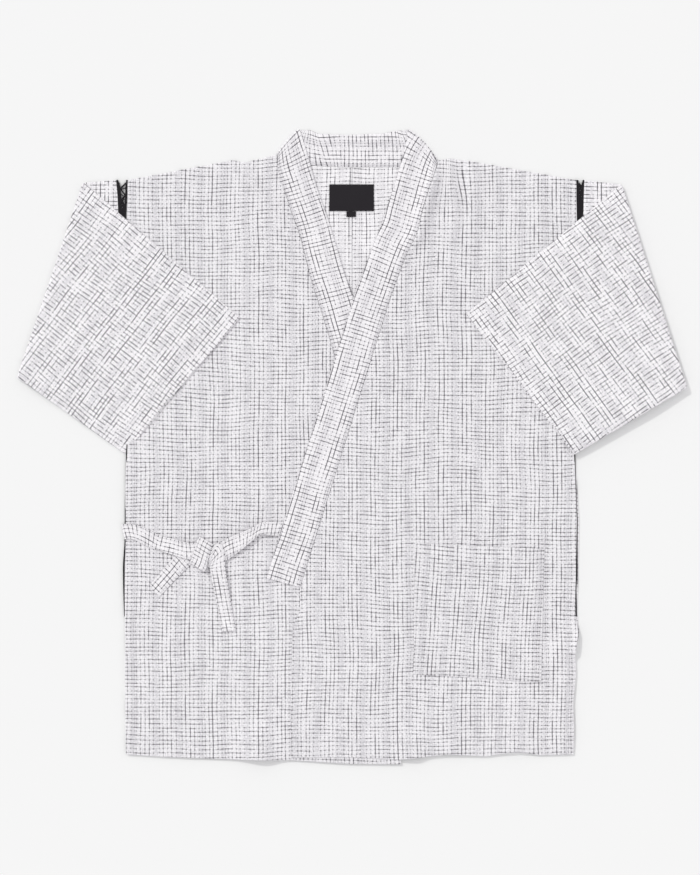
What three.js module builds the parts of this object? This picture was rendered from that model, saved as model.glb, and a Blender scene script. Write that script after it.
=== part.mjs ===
// A jinbei jacket laid flat on its back, in millimetres.
// X runs to the wearer's left, Y towards the collar, Z up from the surface it lies on.
// Right and left in the names are the wearer's.
import * as THREE from "three";

// Cloth and clearances
const CLOTH = 1.2;
const BAND = 2;
const LABEL = 1;
const GAP = 0.3;
const LAYER = CLOTH + GAP;
const STACK = 2 * CLOTH + GAP;
const BAND_TOP = BAND + GAP;

// Body
const HALF_BODY = 282.5;
const SHOULDER_Y = 335.5;
const ARMHOLE_Y = 78;
const SLIT_Y = -214;
const BACK_HEM_Y = -386;
const NECK_X = 111.5;
const NECK_Y = 358;
const UNDER_EDGE_X = 61.5;
const GRID = 24;

// Collar band: width, lower ends, how far down it lies on its own back stretch, gap to the fronts
const BAND_WIDTH = 43.5;
const BAND_END_Y = -177;
const BAND_RAISED_Y = 320;
const SEAM_STEP = 0.45;

// How far the over front stays high past what lies under it, and how long it takes to come down
const LAP_MARGIN = 28;
const LAP_RAMP = 30;

// Trim
const LACE_WIDTH = 11;
const TAPE_LEG = 0.7;

// Levels of the knotted ties, each one cloth above the one before
const TIE_0 = 2 * LAYER;
const TIE_1 = 3 * LAYER;
const TIE_2 = 4 * LAYER;
const TIE_3 = 5 * LAYER;

// Side line of the body: how far it stands out on each side at a height
const SIDE_RIGHT = [
  { y: 340, x: 282.5 },
  { y: 50, x: 282.5 },
  { y: -100, x: 284 },
  { y: -215, x: 285.2 },
  { y: -300, x: 285.8 },
  { y: -400, x: 284.4 },
];
const SIDE_LEFT = [
  { y: 340, x: 282.5 },
  { y: 50, x: 282.5 },
  { y: -10.5, x: 281 },
  { y: -91.5, x: 286 },
  { y: -155.5, x: 285 },
  { y: -210, x: 283.5 },
  { y: -235, x: 286 },
  { y: -265, x: 281 },
  { y: -286.5, x: 282 },
  { y: -323, x: 278.5 },
  { y: -353.5, x: 279.5 },
  { y: -400, x: 278.5 },
];

// Shoulder lines and hems of the two fronts
const SHOULDER_OVER = [
  { x: 111.5, y: 360.5 },
  { x: 122, y: 363 },
  { x: 132.5, y: 361.5 },
  { x: 148.5, y: 359.5 },
  { x: 282.5, y: SHOULDER_Y },
];
const SHOULDER_UNDER = [
  { x: -282.5, y: SHOULDER_Y },
  { x: -151, y: 360.5 },
  { x: -133.5, y: 357.5 },
  { x: -111.5, y: 362 },
];
const HEM_OVER = [
  { x: -77, y: -391 },
  { x: -2.5, y: -391 },
  { x: 61.5, y: -394 },
  { x: 119.5, y: -387.5 },
  { x: 169, y: -390 },
  { x: 208, y: -383.5 },
  { x: 235.5, y: -388.5 },
  { x: 279, y: -387.5 },
];
const HEM_UNDER = [
  { x: -284.4, y: -387.5 },
  { x: -229.5, y: -391 },
  { x: -141, y: -394 },
  { x: -74.5, y: -395 },
  { x: -2.5, y: -399.5 },
  { x: UNDER_EDGE_X, y: -400 },
];

// Collar band down each front, from the corner where it turns over behind the neck:
// the edge sewn to the front, and the free edge across from it
const COLLAR_OVER = [
  { seamX: 108.5, seamY: 359.5, freeX: 72, freeY: 400 },
  { seamX: 103.5, seamY: 344.5, freeX: 63, freeY: 361 },
  { seamX: 96, seamY: 323, freeX: 55.5, freeY: 335 },
  { seamX: 88, seamY: 295.5, freeX: 46.5, freeY: 308 },
  { seamX: 81.5, seamY: 266.5, freeX: 38, freeY: 282 },
  { seamX: 70.5, seamY: 248, freeX: 31.5, freeY: 265 },
  { seamX: 55.5, seamY: 207.5, freeX: 14.5, freeY: 220 },
  { seamX: 46.5, seamY: 182, freeX: 4.5, freeY: 195 },
  { seamX: -65.5, seamY: BAND_END_Y, freeX: -107.5, freeY: -165.5 },
];
const COLLAR_UNDER = [
  { seamX: -108.5, seamY: 363.5, freeX: -67.5, freeY: 400 },
  { seamX: -97, seamY: 351, freeX: -58, freeY: 367 },
  { seamX: -85.5, seamY: 323, freeX: -47, freeY: 334 },
  { seamX: -65.5, seamY: 266.5, freeX: -26.7, freeY: 276.5 },
  { seamX: -51.5, seamY: 211, freeX: -11, freeY: 222.5 },
  { seamX: -39, seamY: 173, freeX: 3, freeY: 186 },
  { seamX: 65.5, seamY: BAND_END_Y, freeX: 107.5, freeY: -165.5 },
];

// Collar band behind the neck, between the two corners, and the back neckline under it
const COLLAR_BACK = [
  { seamX: -51.5, seamY: 354.5, freeX: -51.5, freeY: 398 },
  { seamX: -30, seamY: 352.8, freeX: -43, freeY: 394 },
  { seamX: -10, seamY: 352, freeX: -10, freeY: 392.5 },
  { seamX: 10, seamY: 352, freeX: 10, freeY: 393 },
  { seamX: 39, seamY: 352, freeX: 39, freeY: 394 },
  { seamX: 61.5, seamY: 352, freeX: 56.5, freeY: 397.5 },
];
const NECKLINE_LEFT = [
  { x: 61.5, y: 351.6 },
  { x: 108.5, y: 356.8 },
];
const NECKLINE_RIGHT = [
  { x: -10, y: 351.6 },
  { x: -30, y: 352.4 },
  { x: -51.5, y: 354 },
  { x: -108.5, y: 360.2 },
];

// Front edge of each front below the collar band
const EDGE_OVER = [
  { y: -187, x: -65.5 },
  { y: -206, x: -65.5 },
  { y: -228.5, x: -74.5 },
  { y: -319.5, x: -77 },
  { y: -391, x: -76 },
];
const EDGE_UNDER = [
  { y: -187, x: UNDER_EDGE_X },
  { y: -400, x: UNDER_EDGE_X },
];

// Guide rows of the fronts: heights at the front edge and at the side, and the pocket's two edges
const GUIDES_OVER = [
  { name: "shoulder", edgeY: 360, sideY: SHOULDER_Y, pocketRight: 171, pocketLeft: 260 },
  { name: "neck foot", edgeY: 182, sideY: 170, pocketRight: 136, pocketLeft: 251 },
  { name: "pocket top", edgeY: -115.5, sideY: -131, pocketRight: 79.5, pocketLeft: 242 },
  { name: "pocket foot", edgeY: -277, sideY: -299.5, pocketRight: 77, pocketLeft: 238 },
  { name: "hem", edgeY: -391, sideY: -387.5, pocketRight: 76, pocketLeft: 238 },
];
const GUIDES_UNDER = [
  { name: "shoulder", edgeY: 362, sideY: SHOULDER_Y },
  { name: "band end", edgeY: BAND_END_Y, sideY: -170 },
  { name: "hem", edgeY: -400, sideY: -388.5 },
];
const OVER_COLUMNS = { edgeToPocket: 6, pocket: 6, pocketToSide: 2 };
const UNDER_COLUMNS = 14;
const SHOULDER_FADE = 45;
const HEM_FADE = 60;

// Largest soft folds of the fronts: a ridge from one end to the other, fading out at both
const RIDGES = [
  { name: "shoulder fold beside the collar", x0: 141, y0: 395, x1: 109, y1: 255, width: 44, height: 3.4 },
  { name: "right shoulder fold", x0: -150, y0: 395, x1: -155, y1: 290, width: 46, height: 2.4 },
  { name: "hem wave by the pocket", x0: 120, y0: -430, x1: 118, y1: -302, width: 76, height: 2.6 },
  { name: "hem wave by the slit", x0: 209, y0: -440, x1: 205, y1: -302, width: 64, height: 3.6 },
];

// Sleeves: fold line from shoulder to underarm, cuff corners, and the rise of the folded edge
const SLEEVES = {
  right: {
    shoulder: { x: -339, y: 332 },
    underarm: { x: -422, y: 86.5 },
    cuffUnder: { x: -286, y: -9.5 },
    cuffTop: { x: -141, y: 162 },
    rise: 0.016,
  },
  left: {
    shoulder: { x: 340, y: 329.5 },
    underarm: { x: 422, y: 73.5 },
    cuffUnder: { x: 279.5, y: -10.5 },
    cuffTop: { x: 143.5, y: 167 },
    rise: 0.035,
  },
};
const SLEEVE_ACROSS = 8;
const SLEEVE_INNER = 2;
const SLEEVE_OUTER = 7;
const HALF_TURN = [0, 45, 90, 135, 180];

// Tie from the right side seam: out round the tape, over the front, between the turns of the
// other tie, and down to its free end. Edges a and b, and the level of its underside.
const TIE_SIDE = [
  { ax: -288, ay: -93.5, bx: -288, by: -113, level: 0, foldTo: TIE_0, from: 90 },
  { ax: -249.7, ay: -109.8, bx: -254.3, by: -127.2, level: TIE_0 },
  { ax: -243.7, ay: -111.4, bx: -248.3, by: -129, level: TIE_0 },
  { ax: -225.8, ay: -116, bx: -229.5, by: -135, level: 4.8 },
  { ax: -207, ay: -121, bx: -207, by: -141.5, level: TIE_2 },
  { ax: -192, ay: -121.5, bx: -190, by: -143, level: TIE_2 },
  { ax: -182, ay: -124, bx: -184, by: -143.5, level: TIE_2 },
  { ax: -174.5, ay: -125.5, bx: -181, by: -144.5, level: TIE_2 },
  { ax: -168, ay: -120.5, bx: -180.3, by: -145.5, level: TIE_2 },
  { ax: -161.5, ay: -127, bx: -179.8, by: -147, level: TIE_2 },
  { ax: -160, ay: -140, bx: -179.2, by: -149.5, level: TIE_2 },
  { ax: -159.5, ay: -152, bx: -178.4, by: -154.5, level: TIE_2 },
  { ax: -157, ay: -168, bx: -176, by: -168.5, level: TIE_2 },
  { ax: -151.5, ay: -200, bx: -169.5, by: -200.5, level: TIE_0 },
  { ax: -146, ay: -232, bx: -163, by: -233, level: TIE_0 },
];

// Tie from the over front's edge: over its own free end, once round the other tie, and down
const TIE_FRONT = [
  { ax: -86.3, ay: -94.5, bx: -91.8, by: -112.5, level: TIE_0 },
  { ax: -100, ay: -94.5, bx: -101, by: -111.5, level: TIE_0 },
  { ax: -113.5, ay: -95.5, bx: -116, by: -111, level: TIE_0 },
  { ax: -125, ay: -102, bx: -127, by: -120, level: TIE_0 },
  { ax: -146, ay: -111, bx: -142, by: -132, level: 3.8 },
  { ax: -163, ay: -119.5, bx: -158, by: -143, level: TIE_1 },
  { ax: -172.5, ay: -128, bx: -166, by: -144, level: TIE_1 },
  { ax: -190, ay: -137.5, bx: -178, by: -152, level: TIE_1 },
  { ax: -204.5, ay: -146, bx: -186, by: -158, level: TIE_1, foldTo: TIE_3 },
  { ax: -198, ay: -129.5, bx: -180.5, by: -140.5, level: TIE_3 },
  { ax: -191.5, ay: -113, bx: -174.5, by: -123, level: TIE_3, foldTo: TIE_0 },
  { ax: -218, ay: -133, bx: -204, by: -149.5, level: TIE_0 },
  { ax: -236, ay: -153, bx: -223, by: -168.5, level: TIE_0 },
  { ax: -254.5, ay: -174.5, bx: -242.5, by: -189, level: TIE_0 },
];
const TIE_ACROSS = 2;
const COLLAR_ACROSS = 3;

// Labels inside the back neck
const LABEL_BOX = { x0: -28.5, x1: 27.5, y0: 296.5, y1: 330 };
const SIZE_BOX = { x0: -7, x1: 5, y0: 289, y1: 296.2 };

// Materials
const cotton = new THREE.MeshStandardMaterial({ color: 0xe3e2e7, roughness: 0.92, metalness: 0 });
const lace = new THREE.MeshStandardMaterial({ color: 0x1b1a1f, roughness: 0.8, metalness: 0 });
const satin = new THREE.MeshStandardMaterial({ color: 0x2b292e, roughness: 0.55, metalness: 0 });

const UP = new THREE.Vector3(0, 0, 1);

function mix(a, b, t) {
  return a + (b - a) * t;
}

function smooth(t) {
  const s = Math.min(1, Math.max(0, t));
  return s * s * (3 - 2 * s);
}

// Value of one column of a table where another column has the given value
function lookUp(table, key, value, column) {
  const falling = table[0][key] > table[table.length - 1][key];
  const rows = falling ? [...table].reverse() : table;
  const next = rows.findIndex((row) => row[key] >= value);
  if (next === 0) return rows[0][column];
  if (next < 0) return rows[rows.length - 1][column];
  const before = rows[next - 1];
  const after = rows[next];
  const share = (value - before[key]) / (after[key] - before[key]);
  return mix(before[column], after[column], share);
}

// Distance past the free edge of the under front's collar band, negative on the band
function pastUnderBand(x, y) {
  const [start, end] = COLLAR_UNDER.slice(-2);
  const alongX = end.freeX - start.freeX;
  const alongY = end.freeY - start.freeY;
  return ((y - start.freeY) * alongX - (x - start.freeX) * alongY) / Math.hypot(alongX, alongY);
}

// Underside of the over front and its collar band, which step down past the under front
function lapHeight(x, y) {
  const pastFree = pastUnderBand(x, y);
  const pastBand = Math.max(pastFree, BAND_END_Y - y);
  const pastCloth = Math.min(pastBand, Math.max(x - UNDER_EDGE_X, y - BAND_END_Y));
  const offBand = Math.max(pastBand, -BAND_WIDTH - pastFree);
  const overCloth = 1 - smooth((pastCloth - LAP_MARGIN) / LAP_RAMP);
  const overBand = 1 - smooth((offBand - LAP_MARGIN) / LAP_RAMP);
  return LAYER + LAYER * overCloth + (BAND - CLOTH) * overBand;
}

// Height that the soft folds add at a point
function ridgeHeight(x, y) {
  let height = 0;
  for (const ridge of RIDGES) {
    const alongX = ridge.x1 - ridge.x0;
    const alongY = ridge.y1 - ridge.y0;
    const length = Math.hypot(alongX, alongY);
    const along = ((x - ridge.x0) * alongX + (y - ridge.y0) * alongY) / length / length;
    const across = Math.abs((x - ridge.x0) * alongY - (y - ridge.y0) * alongX) / length;
    const ends = smooth(Math.min(along, 1 - along) * 3);
    height += ridge.height * ends * (1 - smooth((2 * across) / ridge.width));
  }
  return height;
}

// Geometry whose faces point out, from corner points and triangles of either turn
function solidGeometry(points, triangles) {
  const volume = triangles.reduce((sum, [a, b, c]) => {
    return sum + points[a].dot(points[b].clone().cross(points[c]));
  }, 0);
  const index = triangles.flatMap(([a, b, c]) => (volume < 0 ? [a, c, b] : [a, b, c]));
  const positions = points.flatMap((point) => point.toArray());
  const geometry = new THREE.BufferGeometry();
  geometry.setAttribute("position", new THREE.Float32BufferAttribute(positions, 3));
  geometry.setIndex(index);
  geometry.computeVertexNormals();
  return geometry;
}

// Two triangles that fill a four-sided face
function quad(a, b, c, d) {
  return [
    [a, b, c],
    [a, c, d],
  ];
}

// A closed cloth wall: rows of middle points, each thickened along the way it faces
function wallGeometry(rows, thickness) {
  const across = rows[0].length;
  const size = rows.length * across;
  const points = [];
  for (const side of [0.5, -0.5]) {
    for (const { at, facing } of rows.flat()) {
      points.push(at.clone().addScaledVector(facing, side * thickness));
    }
  }
  const triangles = [];
  for (let j = 0; j + 1 < rows.length; j += 1) {
    for (let i = 0; i + 1 < across; i += 1) {
      const a = j * across + i;
      const below = size + a;
      triangles.push(...quad(a, a + 1, a + across + 1, a + across));
      triangles.push(...quad(below, below + across, below + across + 1, below + 1));
    }
  }
  const rim = [];
  for (let i = 0; i < across - 1; i += 1) rim.push(i);
  for (let j = 0; j < rows.length - 1; j += 1) rim.push(j * across + across - 1);
  for (let i = across - 1; i > 0; i -= 1) rim.push(size - across + i);
  for (let j = rows.length - 1; j > 0; j -= 1) rim.push(j * across);
  rim.forEach((a, k) => {
    const b = rim[(k + 1) % rim.length];
    triangles.push(...quad(b, a, size + a, size + b));
  });
  return solidGeometry(points, triangles);
}

// An open-ended tube wall: rings with an outer and an inner loop of matching points
function tubeGeometry(rings) {
  const around = rings[0].outer.length;
  const size = rings.length * around;
  const points = [...rings.flatMap((ring) => ring.outer), ...rings.flatMap((ring) => ring.inner)];
  const triangles = [];
  for (let i = 0; i < around; i += 1) {
    const k = (i + 1) % around;
    for (let j = 0; j + 1 < rings.length; j += 1) {
      const row = j * around;
      const next = row + around;
      triangles.push(...quad(row + i, row + k, next + k, next + i));
      triangles.push(...quad(size + row + i, size + next + i, size + next + k, size + row + k));
    }
    const last = size - around;
    triangles.push(...quad(i, size + i, size + k, k));
    triangles.push(...quad(last + i, last + k, size + last + k, size + last + i));
  }
  return solidGeometry(points, triangles);
}

// One loop round a flattened tube, from its shoulder edge to its underarm edge and back
function flatLoop(top, bottom, facing, radius) {
  const edge = top.clone().sub(bottom).normalize();
  const topCentre = top.clone().addScaledVector(edge, -STACK / 2);
  const bottomCentre = bottom.clone().addScaledVector(edge, STACK / 2);
  const loop = [];
  for (let i = 0; i <= SLEEVE_ACROSS; i += 1) {
    const centre = topCentre.clone().lerp(bottomCentre, i / SLEEVE_ACROSS);
    loop.push(centre.addScaledVector(facing, radius));
  }
  for (const degrees of HALF_TURN.slice(1, -1)) {
    const turn = THREE.MathUtils.degToRad(degrees);
    const point = bottomCentre.clone().addScaledVector(facing, radius * Math.cos(turn));
    loop.push(point.addScaledVector(edge, -radius * Math.sin(turn)));
  }
  for (let i = SLEEVE_ACROSS; i >= 0; i -= 1) {
    const centre = topCentre.clone().lerp(bottomCentre, i / SLEEVE_ACROSS);
    loop.push(centre.addScaledVector(facing, -radius));
  }
  for (const degrees of HALF_TURN.slice(1, -1)) {
    const turn = THREE.MathUtils.degToRad(degrees);
    const point = topCentre.clone().addScaledVector(facing, -radius * Math.cos(turn));
    loop.push(point.addScaledVector(edge, radius * Math.sin(turn)));
  }
  return loop;
}

function flatRing(top, bottom, facing) {
  return {
    outer: flatLoop(top, bottom, facing, STACK / 2),
    inner: flatLoop(top, bottom, facing, GAP / 2),
  };
}

// A strip of cloth laid along sections, each from edge a to edge b at a level, folding over where
// a section names the level it turns to
function stripGeometry(sections, thickness, across) {
  const rows = [];
  const middles = sections.map(({ ax, ay, bx, by }) => new THREE.Vector3((ax + bx) / 2, (ay + by) / 2, 0));
  let side = 1;
  const addRow = ({ ax, ay, bx, by, level }, shift, facing) => {
    const row = [];
    for (let i = 0; i <= across; i += 1) {
      const x = mix(ax, bx, i / across);
      const y = mix(ay, by, i / across);
      const height = typeof level === "function" ? level(x, y) : level;
      row.push({ at: new THREE.Vector3(x, y, height + thickness / 2).add(shift), facing });
    }
    rows.push(row);
  };
  sections.forEach((section, k) => {
    if (section.foldTo === undefined) {
      addRow(section, new THREE.Vector3(), UP.clone().multiplyScalar(side));
      return;
    }
    const outward = new THREE.Vector3(section.ay - section.by, section.bx - section.ax, 0).normalize();
    const inner = middles[k - 1] ?? middles[k + 1];
    if (outward.dot(middles[k].clone().sub(inner)) < 0) outward.negate();
    const rise = section.foldTo - section.level;
    const radius = Math.abs(rise) / 2;
    for (const degrees of HALF_TURN.filter((angle) => angle >= (section.from ?? 0))) {
      const turn = THREE.MathUtils.degToRad(degrees);
      const shift = outward.clone().multiplyScalar(radius * (Math.sin(turn) - 1) - thickness / 2);
      shift.z = (rise * (1 - Math.cos(turn))) / 2;
      const facing = UP.clone().multiplyScalar(Math.cos(turn));
      facing.addScaledVector(outward, -Math.sign(rise) * Math.sin(turn));
      addRow(section, shift, facing.multiplyScalar(side));
    }
    side = -side;
  });
  return wallGeometry(rows, thickness);
}

// Rows of a front, at every height that its tables name and at steps no longer than the grid
function frontRows(guides, collar, edge) {
  const named = [...guides.map((row) => row.edgeY), ...edge.map((row) => row.y)];
  const keys = [...new Set([...named, ...collar.slice(1).map((row) => row.seamY)])].sort((a, b) => b - a);
  const heights = [keys[0]];
  keys.slice(1).forEach((key, k) => {
    const steps = Math.ceil((keys[k] - key) / GRID);
    for (let j = 1; j <= steps; j += 1) heights.push(mix(keys[k], key, j / steps));
  });
  return heights.map((edgeY) => ({
    edgeY,
    sideY: lookUp(guides, "edgeY", edgeY, "sideY"),
    edgeX: frontEdgeX(collar, edge, edgeY),
  }));
}

// Where a front's inner edge lies: at the neck, beside the collar band, then down its own front edge
function frontEdgeX(collar, edge, y) {
  const sign = Math.sign(collar[0].seamX);
  if (y >= NECK_Y) return sign * NECK_X;
  if (y >= BAND_END_Y) return lookUp(collar, "seamY", y, "seamX") + sign * SEAM_STEP;
  return lookUp(edge, "y", y, "x");
}

// Middle points of a front, laid on what is under it and rolled over to the back at the shoulder
function frontGrid(rows, xsOfRow, shoulder, hem, underside) {
  const top = rows[0];
  const foot = rows[rows.length - 1];
  const grid = rows.map((row) => {
    const xs = xsOfRow(row);
    const first = xs[0];
    const span = xs[xs.length - 1] - first;
    return xs.map((x) => {
      const share = (x - first) / span;
      const line = mix(row.edgeY, row.sideY, share);
      const topLine = mix(top.edgeY, top.sideY, share);
      const hemLine = mix(foot.edgeY, foot.sideY, share);
      const byTop = 1 - smooth((topLine - line) / SHOULDER_FADE);
      const byHem = 1 - smooth((line - hemLine) / HEM_FADE);
      const topShift = (lookUp(shoulder, "x", x, "y") - topLine) * byTop;
      const hemShift = (lookUp(hem, "x", x, "y") - hemLine) * byHem;
      const y = line + topShift + hemShift;
      const z = underside(x, y) + ridgeHeight(x, y) + CLOTH / 2;
      return { at: new THREE.Vector3(x, y, z), facing: UP };
    });
  });
  const [inner, outer] = [grid[0][0].at, grid[0][grid[0].length - 1].at];
  const outward = new THREE.Vector3(inner.y - outer.y, outer.x - inner.x, 0).normalize();
  if (outward.y < 0) outward.negate();
  for (const { at } of grid[0]) at.addScaledVector(outward, -STACK / 2);
  const roll = HALF_TURN.slice(1).map((degrees) => {
    const turn = THREE.MathUtils.degToRad(degrees);
    return grid[0].map(({ at }) => {
      const point = at.clone().addScaledVector(outward, (LAYER / 2) * Math.sin(turn));
      point.z = STACK / 2 + (LAYER / 2) * Math.cos(turn);
      const facing = UP.clone().multiplyScalar(Math.cos(turn)).addScaledVector(outward, Math.sin(turn));
      return { at: point, facing };
    });
  });
  return [...roll.reverse(), ...grid];
}

// Columns of the over front: front edge to pocket, pocket, pocket to side seam
function overFrontXs({ edgeY, sideY, edgeX }) {
  const side = lookUp(SIDE_LEFT, "y", sideY, "x");
  const right = lookUp(GUIDES_OVER, "edgeY", edgeY, "pocketRight");
  const left = lookUp(GUIDES_OVER, "edgeY", edgeY, "pocketLeft");
  const { edgeToPocket, pocket, pocketToSide } = OVER_COLUMNS;
  const xs = [edgeX];
  for (let i = 1; i <= edgeToPocket; i += 1) xs.push(mix(edgeX, right, i / edgeToPocket));
  for (let i = 1; i <= pocket; i += 1) xs.push(mix(right, left, i / pocket));
  for (let i = 1; i <= pocketToSide; i += 1) xs.push(mix(left, side, i / pocketToSide));
  return xs;
}

// Columns of the under front, evenly from its front edge to the side seam
function underFrontXs({ sideY, edgeX }) {
  const side = -lookUp(SIDE_RIGHT, "y", sideY, "x");
  return Array.from({ length: UNDER_COLUMNS + 1 }, (_, i) => mix(edgeX, side, i / UNDER_COLUMNS));
}

const overRows = frontRows(GUIDES_OVER, COLLAR_OVER, EDGE_OVER);
const underRows = frontRows(GUIDES_UNDER, COLLAR_UNDER, EDGE_UNDER);
const overGrid = frontGrid(overRows, overFrontXs, SHOULDER_OVER, HEM_OVER, lapHeight);
const underGrid = frontGrid(underRows, underFrontXs, SHOULDER_UNDER, HEM_UNDER, () => LAYER);

// Side edge of a front below its shoulder, from the top down
function sideLine(grid) {
  return grid.slice(HALF_TURN.length - 1).map((row) => row[row.length - 1].at);
}

// One back panel, flat on the surface, inside the lines of its front
function backGeometry(grid, neckline) {
  const sign = Math.sign(neckline[0].x);
  const shoulder = grid[0].map(({ at }) => ({ x: at.x, y: at.y - GAP }));
  const side = sideLine(grid).filter(({ y }) => y < shoulder[shoulder.length - 1].y && y > BACK_HEM_Y);
  const centre = (sign * GAP) / 2;
  const shape = new THREE.Shape();
  shape.moveTo(centre, BACK_HEM_Y);
  shape.lineTo(centre, neckline[0].y);
  for (const { x, y } of [...neckline, ...shoulder, ...side]) shape.lineTo(x, y);
  shape.lineTo(lookUp(sideLine(grid), "y", BACK_HEM_Y, "x"), BACK_HEM_Y);
  shape.closePath();
  return new THREE.ExtrudeGeometry(shape, { depth: CLOTH, bevelEnabled: false });
}

// Doubled band round the neck: up the under front, behind the neck and down the over front
function collarGeometry() {
  const sectionAt = (table, y, level) => ({
    ax: lookUp(table, "seamY", y, "seamX"),
    ay: y,
    bx: lookUp(table, "seamY", y, "freeX"),
    by: lookUp(table, "seamY", y, "freeY"),
    level,
  });
  const stretch = (table, rows, lower) => {
    const onBand = rows.map((row) => row.edgeY).filter((y) => y < NECK_Y && y >= BAND_END_Y);
    return onBand.map((y) => sectionAt(table, y, y > BAND_RAISED_Y ? BAND_TOP : lower));
  };
  const behind = COLLAR_BACK.map((row) => ({
    ax: row.seamX,
    ay: row.seamY,
    bx: row.freeX,
    by: row.freeY,
    level: 0,
  }));
  const sections = [
    ...stretch(COLLAR_UNDER, underRows, LAYER).reverse(),
    { ...sectionAt(COLLAR_UNDER, COLLAR_UNDER[0].seamY, BAND_TOP), foldTo: 0 },
    ...behind,
    { ...sectionAt(COLLAR_OVER, COLLAR_OVER[0].seamY, 0), foldTo: BAND_TOP },
    ...stretch(COLLAR_OVER, overRows, lapHeight),
  ];
  return stripGeometry(sections, BAND, COLLAR_ACROSS);
}

// Patch pocket: the over front's own points inside its outline, moved out
function pocketGeometry() {
  const rolled = HALF_TURN.length - 1;
  const rowOf = (name) => {
    const guide = GUIDES_OVER.find((row) => row.name === name);
    return rolled + overRows.findIndex((row) => row.edgeY === guide.edgeY);
  };
  const { edgeToPocket, pocket } = OVER_COLUMNS;
  const rows = overGrid.slice(rowOf("pocket top"), rowOf("pocket foot") + 1).map((row) => {
    return row.slice(edgeToPocket, edgeToPocket + pocket + 1).map(({ at, facing }) => {
      return { at: at.clone().addScaledVector(facing, LAYER), facing };
    });
  });
  return wallGeometry(rows, CLOTH);
}

// Ladder lace round an armhole, a short flattened tube between body and sleeve
function laceGeometry(sign) {
  const rings = [GAP, LACE_WIDTH - GAP].map((step) => {
    const x = sign * (HALF_BODY + step);
    const top = new THREE.Vector3(x, SHOULDER_Y, STACK / 2);
    const bottom = new THREE.Vector3(x, ARMHOLE_Y, STACK / 2);
    return flatRing(top, bottom, UP);
  });
  return tubeGeometry(rings);
}

// Tape in a side seam, folded round the edge from front to back
function tapeGeometry(grid) {
  const line = sideLine(grid);
  const sign = Math.sign(line[0].x);
  const between = line.map(({ y }) => y).filter((y) => y < ARMHOLE_Y - 2 && y > SLIT_Y + 2);
  const rows = [ARMHOLE_Y - GAP, ...between, SLIT_Y].map((y) => {
    const edge = Math.abs(lookUp(line, "y", y, "x")) + GAP;
    const points = [{ out: edge, turn: 0 }];
    for (const degrees of HALF_TURN) {
      const turn = THREE.MathUtils.degToRad(degrees);
      points.push({ out: edge + TAPE_LEG + (LAYER / 2) * Math.sin(turn), turn });
    }
    points.push({ out: edge, turn: Math.PI });
    return points.map(({ out, turn }) => ({
      at: new THREE.Vector3(sign * out, y, STACK / 2 + (LAYER / 2) * Math.cos(turn)),
      facing: new THREE.Vector3(sign * Math.sin(turn), 0, Math.cos(turn)),
    }));
  });
  return wallGeometry(rows, CLOTH);
}

// A sleeve: a flattened tube laid out from the armhole, folded over its line and back onto the front
function sleeveGeometry(sign, sizes) {
  const point = ({ x, y }, z) => new THREE.Vector3(x, y, z);
  const shoulder = point(sizes.shoulder, 0);
  const underarm = point(sizes.underarm, 0);
  const fold = underarm.clone().sub(shoulder).normalize();
  const outward = new THREE.Vector3(-fold.y, fold.x, 0);
  if (outward.x * sign < 0) outward.negate();
  const armholeX = sign * (HALF_BODY + LACE_WIDTH);
  const radius = LAYER;
  const axis = STACK + GAP / 2;
  const inset = outward.clone().multiplyScalar(-(radius + STACK / 2));
  const stations = [];
  for (let i = 0; i < SLEEVE_INNER; i += 1) {
    const share = i / SLEEVE_INNER;
    const top = new THREE.Vector3(armholeX, SHOULDER_Y, 0).lerp(shoulder, share);
    const bottom = new THREE.Vector3(armholeX, ARMHOLE_Y, 0).lerp(underarm, share);
    top.z = STACK / 2;
    bottom.z = STACK / 2;
    stations.push({ top, bottom, facing: UP });
  }
  for (const degrees of HALF_TURN) {
    const turn = THREE.MathUtils.degToRad(degrees);
    const shift = inset.clone().addScaledVector(outward, radius * Math.sin(turn));
    shift.z = axis - radius * Math.cos(turn);
    const facing = UP.clone().multiplyScalar(Math.cos(turn)).addScaledVector(outward, -Math.sin(turn));
    stations.push({ top: shoulder.clone().add(shift), bottom: underarm.clone().add(shift), facing });
  }
  const folded = stations[stations.length - 1];
  for (let i = 1; i <= SLEEVE_OUTER; i += 1) {
    const share = i / SLEEVE_OUTER;
    const top = folded.top.clone().lerp(point(sizes.cuffTop, folded.top.z), share);
    const bottom = folded.bottom.clone().lerp(point(sizes.cuffUnder, folded.bottom.z), share);
    stations.push({ top, bottom, facing: folded.facing });
  }
  const rings = stations.map(({ top, bottom, facing }) => flatRing(top, bottom, facing));
  for (const corner of rings.flatMap((ring) => [...ring.outer, ...ring.inner])) {
    corner.z += sizes.rise * Math.max(0, Math.abs(corner.x) - Math.abs(armholeX));
  }
  return tubeGeometry(rings);
}

// A label with square corners, lying on the back panels
function labelGeometry({ x0, x1, y0, y1 }) {
  const shape = new THREE.Shape();
  shape.moveTo(x0, y0);
  shape.lineTo(x1, y0);
  shape.lineTo(x1, y1);
  shape.lineTo(x0, y1);
  shape.closePath();
  const geometry = new THREE.ExtrudeGeometry(shape, { depth: LABEL, bevelEnabled: false });
  return geometry.translate(0, 0, LAYER);
}

const jinbei = new THREE.Group();

function addPiece(name, geometry, material) {
  const mesh = new THREE.Mesh(geometry, material);
  mesh.name = name;
  jinbei.add(mesh);
}

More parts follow.
